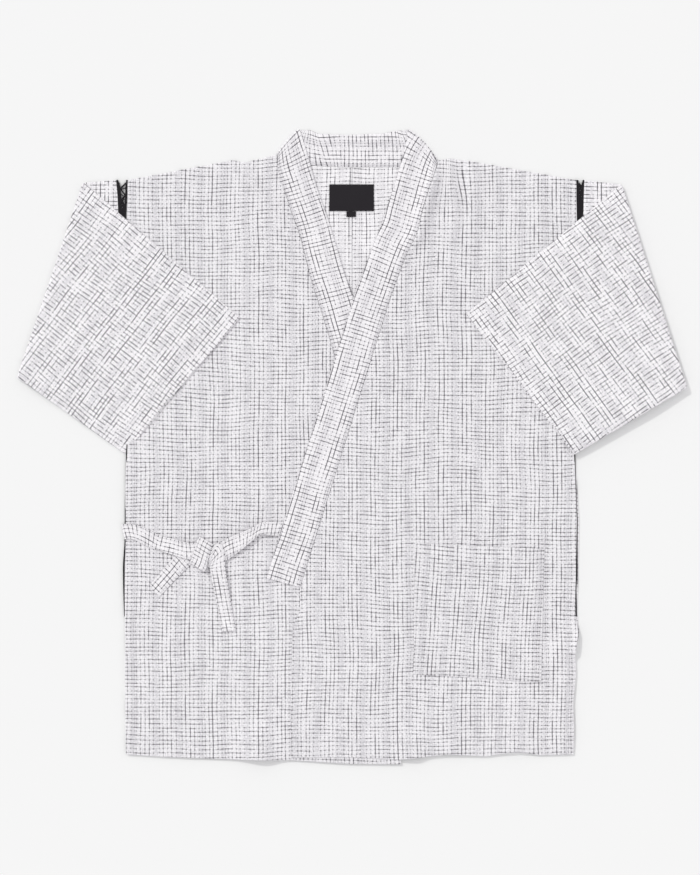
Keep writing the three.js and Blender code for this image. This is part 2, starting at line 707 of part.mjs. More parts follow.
addPiece("back_right", backGeometry(underGrid, NECKLINE_RIGHT), cotton);
addPiece("back_left", backGeometry(overGrid, NECKLINE_LEFT), cotton);
addPiece("front_right", wallGeometry(underGrid, CLOTH), cotton);
addPiece("front_left", wallGeometry(overGrid, CLOTH), cotton);
addPiece("sleeve_right", sleeveGeometry(-1, SLEEVES.right), cotton);
addPiece("sleeve_left", sleeveGeometry(1, SLEEVES.left), cotton);
addPiece("lace_right", laceGeometry(-1), lace);
addPiece("lace_left", laceGeometry(1), lace);
addPiece("side_lace_right", tapeGeometry(underGrid), lace);
addPiece("side_lace_left", tapeGeometry(overGrid), lace);
addPiece("collar", collarGeometry(), cotton);
addPiece("pocket", pocketGeometry(), cotton);
addPiece("tie_side", stripGeometry(TIE_SIDE, CLOTH, TIE_ACROSS), cotton);
addPiece("tie_front", stripGeometry(TIE_FRONT, CLOTH, TIE_ACROSS), cotton);
addPiece("neck_label", labelGeometry(LABEL_BOX), satin);
addPiece("size_label", labelGeometry(SIZE_BOX), satin);

export default jinbei;
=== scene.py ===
import math
from types import SimpleNamespace

import bpy
import numpy as np
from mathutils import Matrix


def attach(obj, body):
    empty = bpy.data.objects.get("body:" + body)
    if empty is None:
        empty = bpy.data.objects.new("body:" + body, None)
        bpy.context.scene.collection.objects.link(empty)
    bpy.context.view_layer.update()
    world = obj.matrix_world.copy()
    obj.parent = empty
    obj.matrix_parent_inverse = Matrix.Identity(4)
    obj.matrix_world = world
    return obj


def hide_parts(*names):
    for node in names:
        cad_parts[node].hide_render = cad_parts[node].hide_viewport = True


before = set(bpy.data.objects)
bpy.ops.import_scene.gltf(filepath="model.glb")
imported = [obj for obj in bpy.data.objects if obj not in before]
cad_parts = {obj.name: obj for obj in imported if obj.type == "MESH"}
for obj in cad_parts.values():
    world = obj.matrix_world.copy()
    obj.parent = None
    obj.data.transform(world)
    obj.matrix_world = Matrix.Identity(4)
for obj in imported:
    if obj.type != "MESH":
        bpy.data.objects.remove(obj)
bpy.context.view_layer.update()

scene = bpy.context.scene
scene.view_settings.view_transform = "Standard"

# Camera, looking straight down, with a frame of this height on the floor
FRAME_HEIGHT = 1.1025
CAMERA_PLACE = (-0.0025, 0.0113, 3.4)
SENSOR_WIDTH = 36
camera_data = bpy.data.cameras.new("camera")
camera_data.sensor_width = SENSOR_WIDTH
camera_data.lens = SENSOR_WIDTH * CAMERA_PLACE[2] / FRAME_HEIGHT
camera_data.clip_end = 80
camera = bpy.data.objects.new("camera", camera_data)
camera.location = CAMERA_PLACE
scene.collection.objects.link(camera)
scene.camera = camera

MM = 0.001

# Cloth levels of the solids, from the surface up
CLOTH = 1.2
BAND = 2.0
GAP = 0.3
LAYER = CLOTH + GAP
STACK = 2 * CLOTH + GAP
BAND_TOP = BAND + GAP
TIE_0, TIE_1, TIE_2, TIE_3 = (LAYER * n for n in (2, 3, 4, 5))

# Body, the collar band on it, how far the over front stays high past what lies under it, lace
HALF_BODY = 282.5
SHOULDER_Y = 335.5
ARMHOLE_Y = 78
SLIT_Y = -214
BACK_HEM_Y = -386
NECK_X_OVER = 107.6
NECK_X_UNDER = -94.2
NECK_Y = 358
NECK_BEND_Y = NECK_Y - 12
UNDER_EDGE_X = 61.5
BAND_WIDTH = 43.5
BAND_END_Y = -177
BAND_RAISED_Y = 320
SEAM_STEP = 0.45
LAP_MARGIN = 16
LAP_RAMP = 22
LACE_WIDTH = 11
ARMHOLE_X = HALF_BODY + LACE_WIDTH

# Height and how far out the side seam stands there
SIDE_RIGHT = [(340, 282.5), (50, 282.5), (-100, 284), (-215, 285.2), (-300, 285.8), (-400, 284.4)]
SIDE_LEFT = [
    (340, 282.5), (50, 282.5), (-10.5, 281), (-91.5, 286), (-155.5, 285), (-210, 283.5),
    (-235, 286), (-265, 281), (-286.5, 282), (-323, 278.5), (-353.5, 279.5), (-400, 278.5),
]

# Shoulder lines and hems, x and y
SHOULDER_OVER = [(111.5, 360.5), (122, 363), (132.5, 361.5), (148.5, 359.5), (282.5, SHOULDER_Y)]
SHOULDER_UNDER = [(-282.5, SHOULDER_Y), (-151, 360.5), (-133.5, 358), (-111.5, 363.5), (-97, 367.5)]
HEM_OVER = [
    (-77, -391), (-2.5, -391), (61.5, -394), (119.5, -387.5), (169, -390), (208, -383.5),
    (235.5, -388.5), (279, -387.5),
]
HEM_UNDER = [
    (-284.4, -387.5), (-229.5, -391), (-141, -394), (-74.5, -395), (-2.5, -399.5), (61.5, -400),
]

# Collar band: seam x and y, free edge x and y
COLLAR_OVER = [
    (108.5, 359.5, 72, 400), (103.5, 344.5, 63, 361), (96, 323, 55.5, 335), (88, 295.5, 46.5, 308),
    (81.5, 266.5, 38, 282), (70.5, 248, 31.5, 265), (55.5, 207.5, 14.5, 220), (46.5, 182, 4.5, 195),
    (-65.5, BAND_END_Y, -107.5, -165.5),
]
COLLAR_UNDER = [
    (-95, 368.5, -67.5, 400), (-94.5, 351, -55.5, 367), (-85.5, 323, -47, 334),
    (-65.5, 266.5, -26.7, 276.5), (-51.5, 211, -11, 222.5), (-39, 173, 3, 186),
    (65.5, BAND_END_Y, 107.5, -165.5),
]
COLLAR_BACK = [
    (-51.5, 354.5, -51.5, 398), (-30, 352.8, -43, 394), (-10, 352, -10, 392.5),
    (10, 352, 10, 393), (39, 352, 39, 394), (61.5, 352, 56.5, 397.5),
]
NECKLINE = [(-108.5, 360.2), (-51.5, 354), (-30, 352.4), (-10, 351.6), (61.5, 351.6), (108.5, 356.8)]

# Front edges below the band, y and x
EDGE_OVER = [(-187, -65.5), (-206, -65.5), (-228.5, -74.5), (-319.5, -77), (-391, -76)]
EDGE_UNDER = [(-187, UNDER_EDGE_X), (-400, UNDER_EDGE_X)]

# Guide rows: height at the front edge and at the side, and the pocket's two edges
GUIDES_OVER = [
    (360, SHOULDER_Y, 171, 260), (182, 170, 136, 251), (-115.5, -131, 79.5, 242),
    (-277, -299.5, 77, 238), (-391, -387.5, 76, 238),
]
GUIDES_UNDER = [(362, SHOULDER_Y), (BAND_END_Y, -170), (-400, -388.5)]

# Sleeves: fold line, cuff corners, rise towards the folded edge, and how far the part off the
# body lifts or hangs
SLEEVES = {
    "right": {
        "shoulder": (-339, 332), "underarm": (-422, 86.5),
        "cuff_under": (-286, -9.5), "cuff_top": (-141, 162), "rise": 0.016, "hang": -2.1,
    },
    "left": {
        "shoulder": (340, 329.5), "underarm": (422, 73.5),
        "cuff_under": (279.5, -10.5), "cuff_top": (143.5, 167), "rise": 0.026, "hang": 3.4,
    },
}

# Creases: full width, height, points of the crest. They fade out under what rests on the fronts.
CREASES_OVER = {
    "pleat beside the collar": (15, 6.5,
        [(120, 392), (123, 356), (127, 334), (131, 308), (131, 280), (126, 250)]),
    "its outer shoulder": (30, 3.6, [(154, 390), (156, 352), (152, 318), (146, 270), (140, 225)]),
    "dent at the band seam": (18, 1.4, [(100, 262), (92, 243), (80, 226)]),
    "shoulder ripple": (22, 1.1, [(186, 358), (192, 338), (189, 318)]),
    "outer shoulder ripple": (24, 1.2, [(231, 350), (236, 332), (233, 310)]),
    "hem wave by the pocket": (60, 2.8, [(120, -404), (118, -350), (119, -306)]),
    "hem wave by the slit": (44, 3.4, [(208, -400), (206, -350), (204, -308)]),
    "lifted slit edge": (15, 5.4, [(294, -223), (288, -238), (282, -253), (274, -268)]),
    "hem lift past the under front": (30, 3.4, [(80, -430), (78, -392), (77, -372), (76, -350)]),
    "rolled slit edge": (18, 2.2, [(270, -225), (268, -290), (266, -345), (268, -392)]),
    "ripple at the slit": (20, 1.7, [(284, -214), (262, -250), (252, -290)]),
    "ripple under the sleeve": (26, 1.2, [(283, -36), (262, -62), (240, -84)]),
    "long soft rise": (70, 1.0, [(150, 130), (120, 40), (112, -60)]),
}
# Threads drawn together by the pleat: its middle, the heights where that starts and is full,
# and how far it reaches to each side
GATHER = SimpleNamespace(middle=122, low=292, high=352, reach=15)
# The over collar stands up a little where it leaves the neck, with the cloth beside it
COLLAR_RISE = {
    "crest at the seam": (20, 7.0,
        [(114, 372), (107, 346), (99, 323), (92, 300), (85, 272), (75, 250), (66, 230)]),
}
CREASES_UNDER = {
    "shoulder fold": (14, 2.4, [(-160, 378), (-147, 358), (-132, 353), (-126, 338), (-126, 318)]),
    "crease by the collar": (18, 1.4, [(-112, 372), (-108, 350), (-100, 328), (-92, 300)]),
    "shoulder ripple": (24, 1.0, [(-205, 356), (-208, 335), (-204, 310)]),
    "long soft rise": (60, 1.0, [(-150, 110), (-140, 40), (-160, -30)]),
    "lower side rise": (50, 1.2, [(-230, -250), (-222, -310), (-226, -380)]),
    "lifted hem": (46, 6.4, [(-118, -440), (-115, -395), (-117, -372), (-122, -345)]),
}

# Ties: edges a and b of each section, and the level of its underside
TIE_SIDE = [
    (-290.8, -98.5, -286.5, -117, 0), (-250.5, -107.5, -254.3, -127.2, TIE_0),
    (-243.7, -111.4, -248.3, -129, TIE_0), (-225.8, -116, -229.5, -135, 4.8),
    (-207, -121, -207, -141.5, TIE_2), (-192, -121.5, -190, -143, TIE_2),
    (-182, -124, -184, -143.5, TIE_2), (-174.5, -125.5, -181, -144.5, TIE_2),
    (-168, -120.5, -180.3, -145.5, TIE_2), (-161.5, -127, -179.8, -147, TIE_2),
    (-160, -140, -179.2, -149.5, TIE_2), (-159.5, -152, -178.4, -154.5, TIE_2),
    (-157, -168, -176, -168.5, TIE_2), (-151.5, -200, -169.5, -200.5, TIE_0),
    (-146, -232, -163, -233, TIE_0),
]
TIE_SIDE_FOLDS = {0: (TIE_0, 90)}
TIE_FRONT = [
    (-86.3, -94.5, -91.8, -112.5, 4.8), (-100, -94.5, -101, -111.5, 6.4),
    (-113.5, -95.5, -116, -111, 7.0), (-125, -102, -127, -120, 6.6),
    (-146, -111, -142, -132, 5.4), (-163, -119.5, -158, -143, TIE_1),
    (-172.5, -128, -166, -144, TIE_1), (-190, -137.5, -178, -152, TIE_1),
    (-204.5, -146, -186, -158, TIE_1), (-198, -129.5, -180.5, -140.5, TIE_3),
    (-191.5, -113, -174.5, -123, TIE_3), (-218, -133, -204, -149.5, TIE_0),
    (-236, -153, -223, -168.5, TIE_0), (-254.5, -174.5, -242.5, -189, TIE_0),
]
TIE_FRONT_FOLDS = {8: (TIE_3, 0), 10: (TIE_0, 0)}


# Farther than any place on the jacket
FAR = 1e9


def smooth(t):
    s = np.clip(t, 0.0, 1.0)
    return s * s * (3 - 2 * s)


def look_up(table, at, column=1, key=0):
    rows = sorted(table, key=lambda row: row[key])
    return np.interp(at, [row[key] for row in rows], [row[column] for row in rows])


def rounded_look_up(table, at, column, key, reach=9.0):
    """A table's line with its corners rounded over a short reach, and its ends kept."""
    keys = [row[key] for row in table]
    at = np.asarray(at, dtype=float)
    room = np.minimum(reach, np.minimum(max(keys) - at, at - min(keys)).clip(0))
    steps = np.linspace(-1, 1, 7)
    return np.mean([look_up(table, at + step * room, column, key) for step in steps], axis=0)


def noise(x, y, scale, seed):
    """Smooth noise from 0 to 1, with features about scale millimetres across."""
    size = 64
    values = np.random.default_rng(seed).random((size, size))
    u, v = np.asarray(x) / scale + 17.3, np.asarray(y) / scale + 41.7
    iu, iv = np.floor(u).astype(int), np.floor(v).astype(int)
    fu, fv = smooth(u - iu), smooth(v - iv)
    a = values[iu % size, iv % size]
    b = values[(iu + 1) % size, iv % size]
    c = values[iu % size, (iv + 1) % size]
    d = values[(iu + 1) % size, (iv + 1) % size]
    return (a * (1 - fu) + b * fu) * (1 - fv) + (c * (1 - fu) + d * fu) * fv


def to_line(x, y, points):
    """Distance to a line of points, and how far along it the nearest place is, from 0 to 1."""
    best = np.full(np.shape(x), FAR)
    share = np.zeros(np.shape(x))
    lengths = [math.dist(p, q) for p, q in zip(points, points[1:])]
    done = 0.0
    for (ax, ay), (bx, by), length in zip(points, points[1:], lengths):
        t = ((x - ax) * (bx - ax) + (y - ay) * (by - ay)) / length**2
        t = np.clip(t, 0, 1)
        away = np.hypot(x - ax - t * (bx - ax), y - ay - t * (by - ay))
        nearer = away < best
        best = np.where(nearer, away, best)
        share = np.where(nearer, (done + t * length) / sum(lengths), share)
        done += length
    return best, share


def crease_height(x, y, creases):
    total = np.zeros(np.shape(x))
    for width, height, points in creases.values():
        away, share = to_line(x, y, points)
        ends = smooth(np.minimum(share, 1 - share) * 4)
        total += height * ends * np.exp(-((2.2 * away / width) ** 2))
    return total


def gathered(x, y):
    """Sideways shift of the threads where the pleat draws them together."""
    off = x - GATHER.middle
    drawn = smooth((y - GATHER.low) / (GATHER.high - GATHER.low))
    return off * np.exp(-((off / GATHER.reach) ** 2)) * drawn


def inside(x, y, corners, soft):
    """1 well inside a convex outline with that soft border around it, 0 outside."""
    low = np.full(np.shape(x), FAR)
    sides = list(zip(corners, [*corners[1:], corners[0]]))
    turn = math.copysign(1, sum(ax * by - bx * ay for (ax, ay), (bx, by) in sides))
    for (ax, ay), (bx, by) in sides:
        length = math.dist((ax, ay), (bx, by))
        low = np.minimum(low, turn * ((bx - ax) * (y - ay) - (by - ay) * (x - ax)) / length)
    return smooth(low / soft + 1)


# Outlines of what rests on the fronts, and how softly their cloth flattens out towards them
POCKET_OUTLINE = [(76, -114), (243, -130), (239, -301), (75, -279)]
TIE_OUTLINE = [(-292, -84), (-84, -84), (-88, -160), (-140, -240), (-262, -196), (-292, -150)]
TRIM_SOFT = 12
SLEEVE_SOFT = 14


def lying_on(x, y):
    """1 where something rests on the fronts, fading to 0 a little way off."""
    cover = inside(x, y, POCKET_OUTLINE, TRIM_SOFT)
    cover = np.maximum(cover, inside(x, y, TIE_OUTLINE, TRIM_SOFT))
    for sizes in SLEEVES.values():
        outline = [sizes[key] for key in ("shoulder", "underarm", "cuff_under", "cuff_top")]
        cover = np.maximum(cover, inside(x, y, outline, SLEEVE_SOFT))
    return cover


# Underside of the over front, which steps down past the under front and its band
def lap_height(x, y):
    (_, _, sx, sy), (_, _, ex, ey) = COLLAR_UNDER[-2:]
    past_free = ((y - sy) * (ex - sx) - (x - sx) * (ey - sy)) / math.hypot(ex - sx, ey - sy)
    past_band = np.maximum(past_free, BAND_END_Y - y)
    past_cloth = np.minimum(past_band, np.maximum(x - UNDER_EDGE_X, y - BAND_END_Y))
    off_band = np.maximum(past_band, -BAND_WIDTH - past_free)
    over_cloth = 1 - smooth((past_cloth - LAP_MARGIN) / LAP_RAMP)
    over_band = 1 - smooth((off_band - LAP_MARGIN) / LAP_RAMP)
    return LAYER + LAYER * over_cloth + (BAND - CLOTH) * over_band


# Materials


def plug(tree, socket, value):
    if isinstance(value, (int, float)):
        socket.default_value = value
    elif value is not None:
        tree.links.new(value, socket)


def maths(tree, operation, a, b=None, c=None):
    node = tree.nodes.new("ShaderNodeMath")
    node.operation = operation
    for socket, value in zip(node.inputs, (a, b, c)):
        plug(tree, socket, value)
    return node.outputs[0]


def times(tree, a, b):
    return maths(tree, "MULTIPLY", a, b)


def scaled(tree, value, factor, added):
    return maths(tree, "MULTIPLY_ADD", value, factor, added)


def away_from(tree, value, middle):
    return maths(tree, "ABSOLUTE", maths(tree, "SUBTRACT", value, middle))


def ramp(tree, value, low, high, to_low=0.0, to_high=1.0):
    node = tree.nodes.new("ShaderNodeMapRange")
    node.interpolation_type = "SMOOTHSTEP"
    for socket, amount in zip(node.inputs, (value, low, high, to_low, to_high)):
        plug(tree, socket, amount)
    return node.outputs[0]


def pair(tree, x, y):
    node = tree.nodes.new("ShaderNodeCombineXYZ")
    plug(tree, node.inputs[0], x)
    plug(tree, node.inputs[1], y)
    return node.outputs[0]


def soft_noise(tree, vector, scale, detail=1.0):
    node = tree.nodes.new("ShaderNodeTexNoise")
    node.inputs["Scale"].default_value = scale
    node.inputs["Detail"].default_value = detail
    node.inputs["Roughness"].default_value = 0.5
    tree.links.new(vector, node.inputs["Vector"])
    return node.outputs["Fac"]


def chance(tree, value, offset):
    node = tree.nodes.new("ShaderNodeTexWhiteNoise")
    node.noise_dimensions = "1D"
    tree.links.new(maths(tree, "ADD", value, offset), node.inputs["W"])
    return node.outputs["Value"]


def blend_colours(tree, factor, a, b):
    node = tree.nodes.new("ShaderNodeMix")
    node.data_type = "RGBA"
    plug(tree, node.inputs[0], factor)
    for socket, value in ((node.inputs[6], a), (node.inputs[7], b)):
        if isinstance(value, tuple):
            socket.default_value = (*value, 1)
        else:
            tree.links.new(value, socket)
    return node.outputs[2]


def new_material(name):
    material = bpy.data.materials.new(name)
    material.use_nodes = True
    tree = material.node_tree
    shader = next(node for node in tree.nodes if node.type == "BSDF_PRINCIPLED")
    return material, tree, shader


def weave_place(tree):
    """Place on the piece's own grain, and its two parts."""
    uv = tree.nodes.new("ShaderNodeUVMap")
    uv.uv_map = "weave"
    split = tree.nodes.new("ShaderNodeSeparateXYZ")
    tree.links.new(uv.outputs[0], split.inputs[0])
    return uv.outputs[0], split.outputs[0], split.outputs[1]


def ridges(tree, value, pitch):
    return maths(tree, "SINE", times(tree, value, 2 * math.pi / pitch))


def finish_cloth(tree, shader, colour, relief, rough, strength, sheen, sheen_roughness, specular):
    bump = tree.nodes.new("ShaderNodeBump")
    bump.inputs["Strength"].default_value = strength
    bump.inputs["Distance"].default_value = 0.0002
    tree.links.new(relief, bump.inputs["Height"])
    tree.links.new(bump.outputs[0], shader.inputs["Normal"])
    tree.links.new(colour, shader.inputs["Base Color"])
    tree.links.new(rough, shader.inputs["Roughness"])
    shader.inputs["Sheen Weight"].default_value = sheen
    shader.inputs["Sheen Roughness"].default_value = sheen_roughness
    shader.inputs["Specular IOR Level"].default_value = specular


# Threads, in metres: spacing, slubs, stitches, fine weave between, and the black cloth's ribs
WEFT_PITCH = 0.00508
WARP_PITCH = 0.00525
WARP_REPEAT = 0.0286
WARP_SLUB = 0.028
WEFT_SLUB = 0.017
STITCH_PITCH = 0.0032
FINE_PITCH = 0.0009
RIB_PITCH = 0.0011
CORD_PITCH = 0.0008
THREAD_DARK = (0.07, 0.062, 0.078)
SEWN_AND_SHADOW_TONE = (0.5, 0.49, 0.52)


def thread_core(tree, offset, pitch, half_width):
    """How near a place is to its thread's middle, 1 on it and 0 past its fuzzy edge."""
    away = times(tree, maths(tree, "ABSOLUTE", offset), pitch)
    return ramp(tree, away, 0.15 * half_width, half_width, 1.0, 0.0)


def slubs(tree, index, along, run, faint):
    """Uneven stretches along each thread, from faint to full colour."""
    place = pair(tree, times(tree, index, 5.37), maths(tree, "DIVIDE", along, run))
    return ramp(tree, soft_noise(tree, place, 1), 0.42, 0.59, faint, 1.0)


def cotton_material(
    name, ground, hollow_shade, depth, half_width, weft_link, warp_link, faint, run=1.0, spot=0.22
):
    """White cotton with broken dark slub threads both ways, drawn on the piece's own grain."""
    material, tree, shader = new_material(name)
    place, u, v = weave_place(tree)
    across = pair(tree, v, u)

    # Neither set of threads runs quite straight
    drift_u = scaled(tree, soft_noise(tree, place, 9), 0.007, u)
    drift_v = scaled(tree, soft_noise(tree, across, 10), 0.013, v)
    drift_u = scaled(tree, soft_noise(tree, place, 60), 0.0006, drift_u)
    drift_v = scaled(tree, soft_noise(tree, across, 55), 0.0005, drift_v)

    # Warp: groups of three stronger threads, with faint ones between the groups
    repeat = maths(tree, "DIVIDE", drift_u, WARP_REPEAT)
    within = times(tree, maths(tree, "FRACT", repeat), WARP_REPEAT / WARP_PITCH)
    order = maths(tree, "FLOOR", within)
    thread = scaled(tree, maths(tree, "FLOOR", repeat), 7.0, order)
    jitter = scaled(tree, chance(tree, thread, 3.0), 0.26, -0.63)
    offset = maths(tree, "ADD", maths(tree, "FRACT", within), jitter)
    warp = thread_core(tree, offset, WARP_PITCH, half_width)
    rank = maths(tree, "MAXIMUM", ramp(tree, away_from(tree, order, 1.9), 0.85, 2.5, 1.0, 0.0), 0.3)
    rank = times(tree, rank, ramp(tree, chance(tree, thread, 34.0), 0.0, 0.7, 0.45, 1.0))
    warp_tone = times(tree, rank, slubs(tree, thread, v, WARP_SLUB * run, faint))
    warp_dark = times(tree, warp, warp_tone)

    # Weft: even rows of shorter slubs
    rows = maths(tree, "DIVIDE", drift_v, WEFT_PITCH)
    pick = maths(tree, "FLOOR", rows)
    jitter = scaled(tree, chance(tree, pick, 57.0), 0.18, -0.59)
    offset = maths(tree, "ADD", maths(tree, "FRACT", rows), jitter)
    weft = thread_core(tree, offset, WEFT_PITCH, half_width)
    pick_tone = ramp(tree, chance(tree, pick, 91.0), 0.0, 1.0, 0.88, 1.0)
    weft_tone = times(tree, pick_tone, slubs(tree, pick, u, WEFT_SLUB * run, 0.85 * faint))
    weft_dark = times(tree, weft, weft_tone)

    # Rows fade inside the groups of warp threads, and knot darkly where two dark threads cross
    group = ramp(tree, away_from(tree, within, 2.4), 0.9, 3.0, 1.0, 0.0)
    tones = scaled(tree, times(tree, warp_tone, weft_tone), 0.95, spot)
    knot = times(tree, times(tree, warp, weft), tones)
    dark = times(tree, weft_dark, scaled(tree, group, -0.05, weft_link))
    dark = scaled(tree, warp_dark, warp_link, dark)
    dark = scaled(tree, knot, 0.95, dark)
    dark = maths(tree, "MINIMUM", times(tree, dark, depth), 0.95)
    # The ground is painted darker between the groups of warp threads as shade in the weave's hollows,
    # and lighter or darker at random in clouds and specks
    cloud = soft_noise(tree, place, 34, 2.0)
    speck = soft_noise(tree, place, 520, 2.0)
    light = scaled(tree, group, 0.25, times(tree, cloud, 0.4))
    light = scaled(tree, maths(tree, "SUBTRACT", speck, 0.5), 1.9, light)
    pale = blend_colours(tree, ramp(tree, light, -0.1, 0.7), hollow_shade, ground)
    colour = blend_colours(tree, dark, pale, THREAD_DARK)

    # Sewn lines: a shallow groove, with a stitch every few millimetres. The same mark also draws a
    # painted shadow line along the under band's free edge.
    sewn = tree.nodes.new("ShaderNodeAttribute")
    sewn.attribute_name = "sewn"
    groove_and_shadow_line = ramp(tree, maths(tree, "ABSOLUTE", sewn.outputs["Fac"]), 0.0002, 0.0011, 1.0, 0.0)
    beat = maths(tree, "FRACT", maths(tree, "DIVIDE", maths(tree, "ADD", u, v), STITCH_PITCH))
    stitches_and_shadow_line = times(tree, groove_and_shadow_line, ramp(tree, beat, 0.55, 0.75, 1.0, 0.35))
    colour = blend_colours(tree, times(tree, stitches_and_shadow_line, 0.3), colour, SEWN_AND_SHADOW_TONE)

    # Relief: plain weave, thicker slub threads, the sewn groove
    plain = times(tree, ridges(tree, u, FINE_PITCH), ridges(tree, v, FINE_PITCH))
    relief = scaled(tree, plain, 0.12, times(tree, dark, 0.5))
    relief = scaled(tree, speck, 0.5, relief)
    relief = scaled(tree, groove_and_shadow_line, -1.6, relief)
    rough = ramp(tree, speck, 0.3, 0.7, 0.86, 0.97)
    finish_cloth(
        tree, shader, colour, relief, rough,
        strength=0.5, sheen=0.22, sheen_roughness=0.55, specular=0.25,
    )
    return material


def black_material(name, colour, sheen, roughness, specular):
    """Black lace, tape or label cloth with a fine woven relief, and a painted highlight on its raised
    ribs.
    """
    material, tree, shader = new_material(name)
    place, u, v = weave_place(tree)
    speck = soft_noise(tree, place, 700, 2.0)
    relief = scaled(tree, ridges(tree, u, CORD_PITCH), 0.2, speck)
    relief = scaled(tree, ridges(tree, v, RIB_PITCH), 0.3, relief)
    # Lighter colour on the raised ribs is a painted highlight; the specks add random lighter tone
    pale = tuple(part * 2.4 + 0.006 for part in colour)
    colour_with_rib_highlight = blend_colours(tree, ramp(tree, relief, 0.2, 1.3), colour, pale)
    rough = ramp(tree, speck, 0.3, 0.7, roughness, min(1.0, roughness + 0.15))
    finish_cloth(
        tree, shader, colour_with_rib_highlight, relief, rough,
        strength=0.6, sheen=sheen, sheen_roughness=0.5, specular=specular,
    )
    return material


COTTON = cotton_material(
    "cotton", ground=(0.925, 0.908, 0.933), hollow_shade=(0.64, 0.625, 0.657), depth=3.2,
    half_width=0.00102, weft_link=0.225, warp_link=0.262, faint=0.25,
)
COTTON_CRISP = cotton_material(
    "cotton folded over", ground=(0.965, 0.945, 0.968), hollow_shade=(0.71, 0.69, 0.725), depth=5.1,
    half_width=0.0009, weft_link=0.2, warp_link=0.21, faint=0.16,
)
COTTON_SLEEVE = cotton_material(
    "cotton of the sleeves", ground=(0.98, 0.96, 0.983), hollow_shade=(0.71, 0.69, 0.725), depth=8.8,
    half_width=0.00089, weft_link=0.138, warp_link=0.165, faint=0.12, run=0.68, spot=0.13,
)
COTTON_INSIDE = cotton_material(
    "cotton inner face", ground=(0.98, 0.962, 0.985), hollow_shade=(0.76, 0.742, 0.772), depth=3.4,
    half_width=0.0009, weft_link=0.22, warp_link=0.265, faint=0.22,
)
LACE = black_material(
    "black lace", colour=(0.005, 0.0036, 0.0055), sheen=0.04, roughness=0.62, specular=0.24
)
LABEL = black_material(
    "black label", colour=(0.009, 0.0072, 0.0098), sheen=0.04, roughness=0.55, specular=0.2
)


# Meshes


def make_object(name, points, faces, weave, sewn, material, nodes):
    """A mesh object in metres from points in millimetres, with its faces turned out."""
    points = np.asarray(points, dtype=float) * MM
    faces = np.asarray(faces, dtype=np.int64)
    a, b, c, d = (points[faces[:, k]] for k in range(4))
    volume = np.einsum("ij,ij->", a, np.cross(b, c)) + np.einsum("ij,ij->", a, np.cross(c, d))
    if volume < 0:
        faces = faces[:, ::-1]
    mesh = bpy.data.meshes.new(name)
    mesh.from_pydata(points.tolist(), [], faces.tolist())
    mesh.update()
    loops = faces.ravel()
    layer = mesh.uv_layers.new(name="weave")
    layer.data.foreach_set("uv", (np.asarray(weave) * MM)[loops].ravel())
    # The "sewn" distances mark the sewn lines and also the painted shadow line along the under band's
    # free edge
    attribute = mesh.attributes.new("sewn", "FLOAT", "POINT")
    attribute.data.foreach_set("value", np.asarray(sewn, dtype=float) * MM)
    mesh.polygons.foreach_set("use_smooth", [True] * len(faces))
    mesh.set_sharp_from_angle(angle=math.radians(50))
    mesh.materials.append(material)
    piece = bpy.data.objects.new(name, mesh)
    bpy.context.scene.collection.objects.link(piece)
    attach(piece, "root")
    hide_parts(*nodes)
    return piece


def shell_parts(mid, facing, thickness):
    """Points and faces of a closed cloth shell round a grid of middle points."""
    rows, across = mid.shape[:2]
    size = rows * across
    half = np.broadcast_to(np.asarray(thickness) / 2, (rows, across))[..., None]
    walls = (mid + facing * half, mid - facing * half)
    points = np.concatenate([wall.reshape(-1, 3) for wall in walls])
    index = np.arange(size).reshape(rows, across)
    a, b, c, d = index[:-1, :-1], index[:-1, 1:], index[1:, 1:], index[1:, :-1]
    top = np.stack([a, b, c, d], axis=-1).reshape(-1, 4)
    under = np.stack([a, d, c, b], axis=-1).reshape(-1, 4) + size
    rim = np.concatenate([index[0, :-1], index[:-1, -1], index[-1, :0:-1], index[:0:-1, 0]])
    after = np.roll(rim, -1)
    edge = np.stack([after, rim, rim + size, after + size], axis=-1)
    return points, np.concatenate([top, under, edge])


def shell(name, mid, facing, thickness, weave, sewn, material, nodes):
    points, faces = shell_parts(mid, facing, thickness)
    both = np.concatenate([weave.reshape(-1, 2)] * 2)
    lines = np.concatenate([np.asarray(sewn).ravel()] * 2)
    return make_object(name, points, faces, both, lines, material, nodes)


def up_like(mid):
    """Directions square to a grid of points, on the side that faces up."""
    along = np.gradient(mid, axis=0)
    across = np.gradient(mid, axis=1)
    facing = np.cross(across, along)
    facing /= np.linalg.norm(facing, axis=-1, keepdims=True)
    return np.where(facing[..., 2:] < 0, -facing, facing)


# A value of "sewn" that is far from any line, and the shells' thickness where cloth is single
NO_LINE = 50.0
SINGLE = CLOTH - 0.2


# Fronts


def front_edge_x(collar, edge, y):
    sign = math.copysign(1, collar[0][0])
    beside = rounded_look_up(collar, y, 0, 1) + sign * SEAM_STEP
    below = look_up(edge, y)
    at_neck = look_up([(NECK_BEND_Y, 0), (NECK_Y + 2, 1)], y)
    neck_x = NECK_X_OVER if sign > 0 else NECK_X_UNDER
    neck = beside + at_neck * (neck_x - beside)
    return np.where(y >= NECK_BEND_Y, neck, np.where(y >= BAND_END_Y, beside, below))


# How far the guide rows bend to follow the shoulder line and the hem
SHOULDER_FADE = 45
HEM_FADE = 60


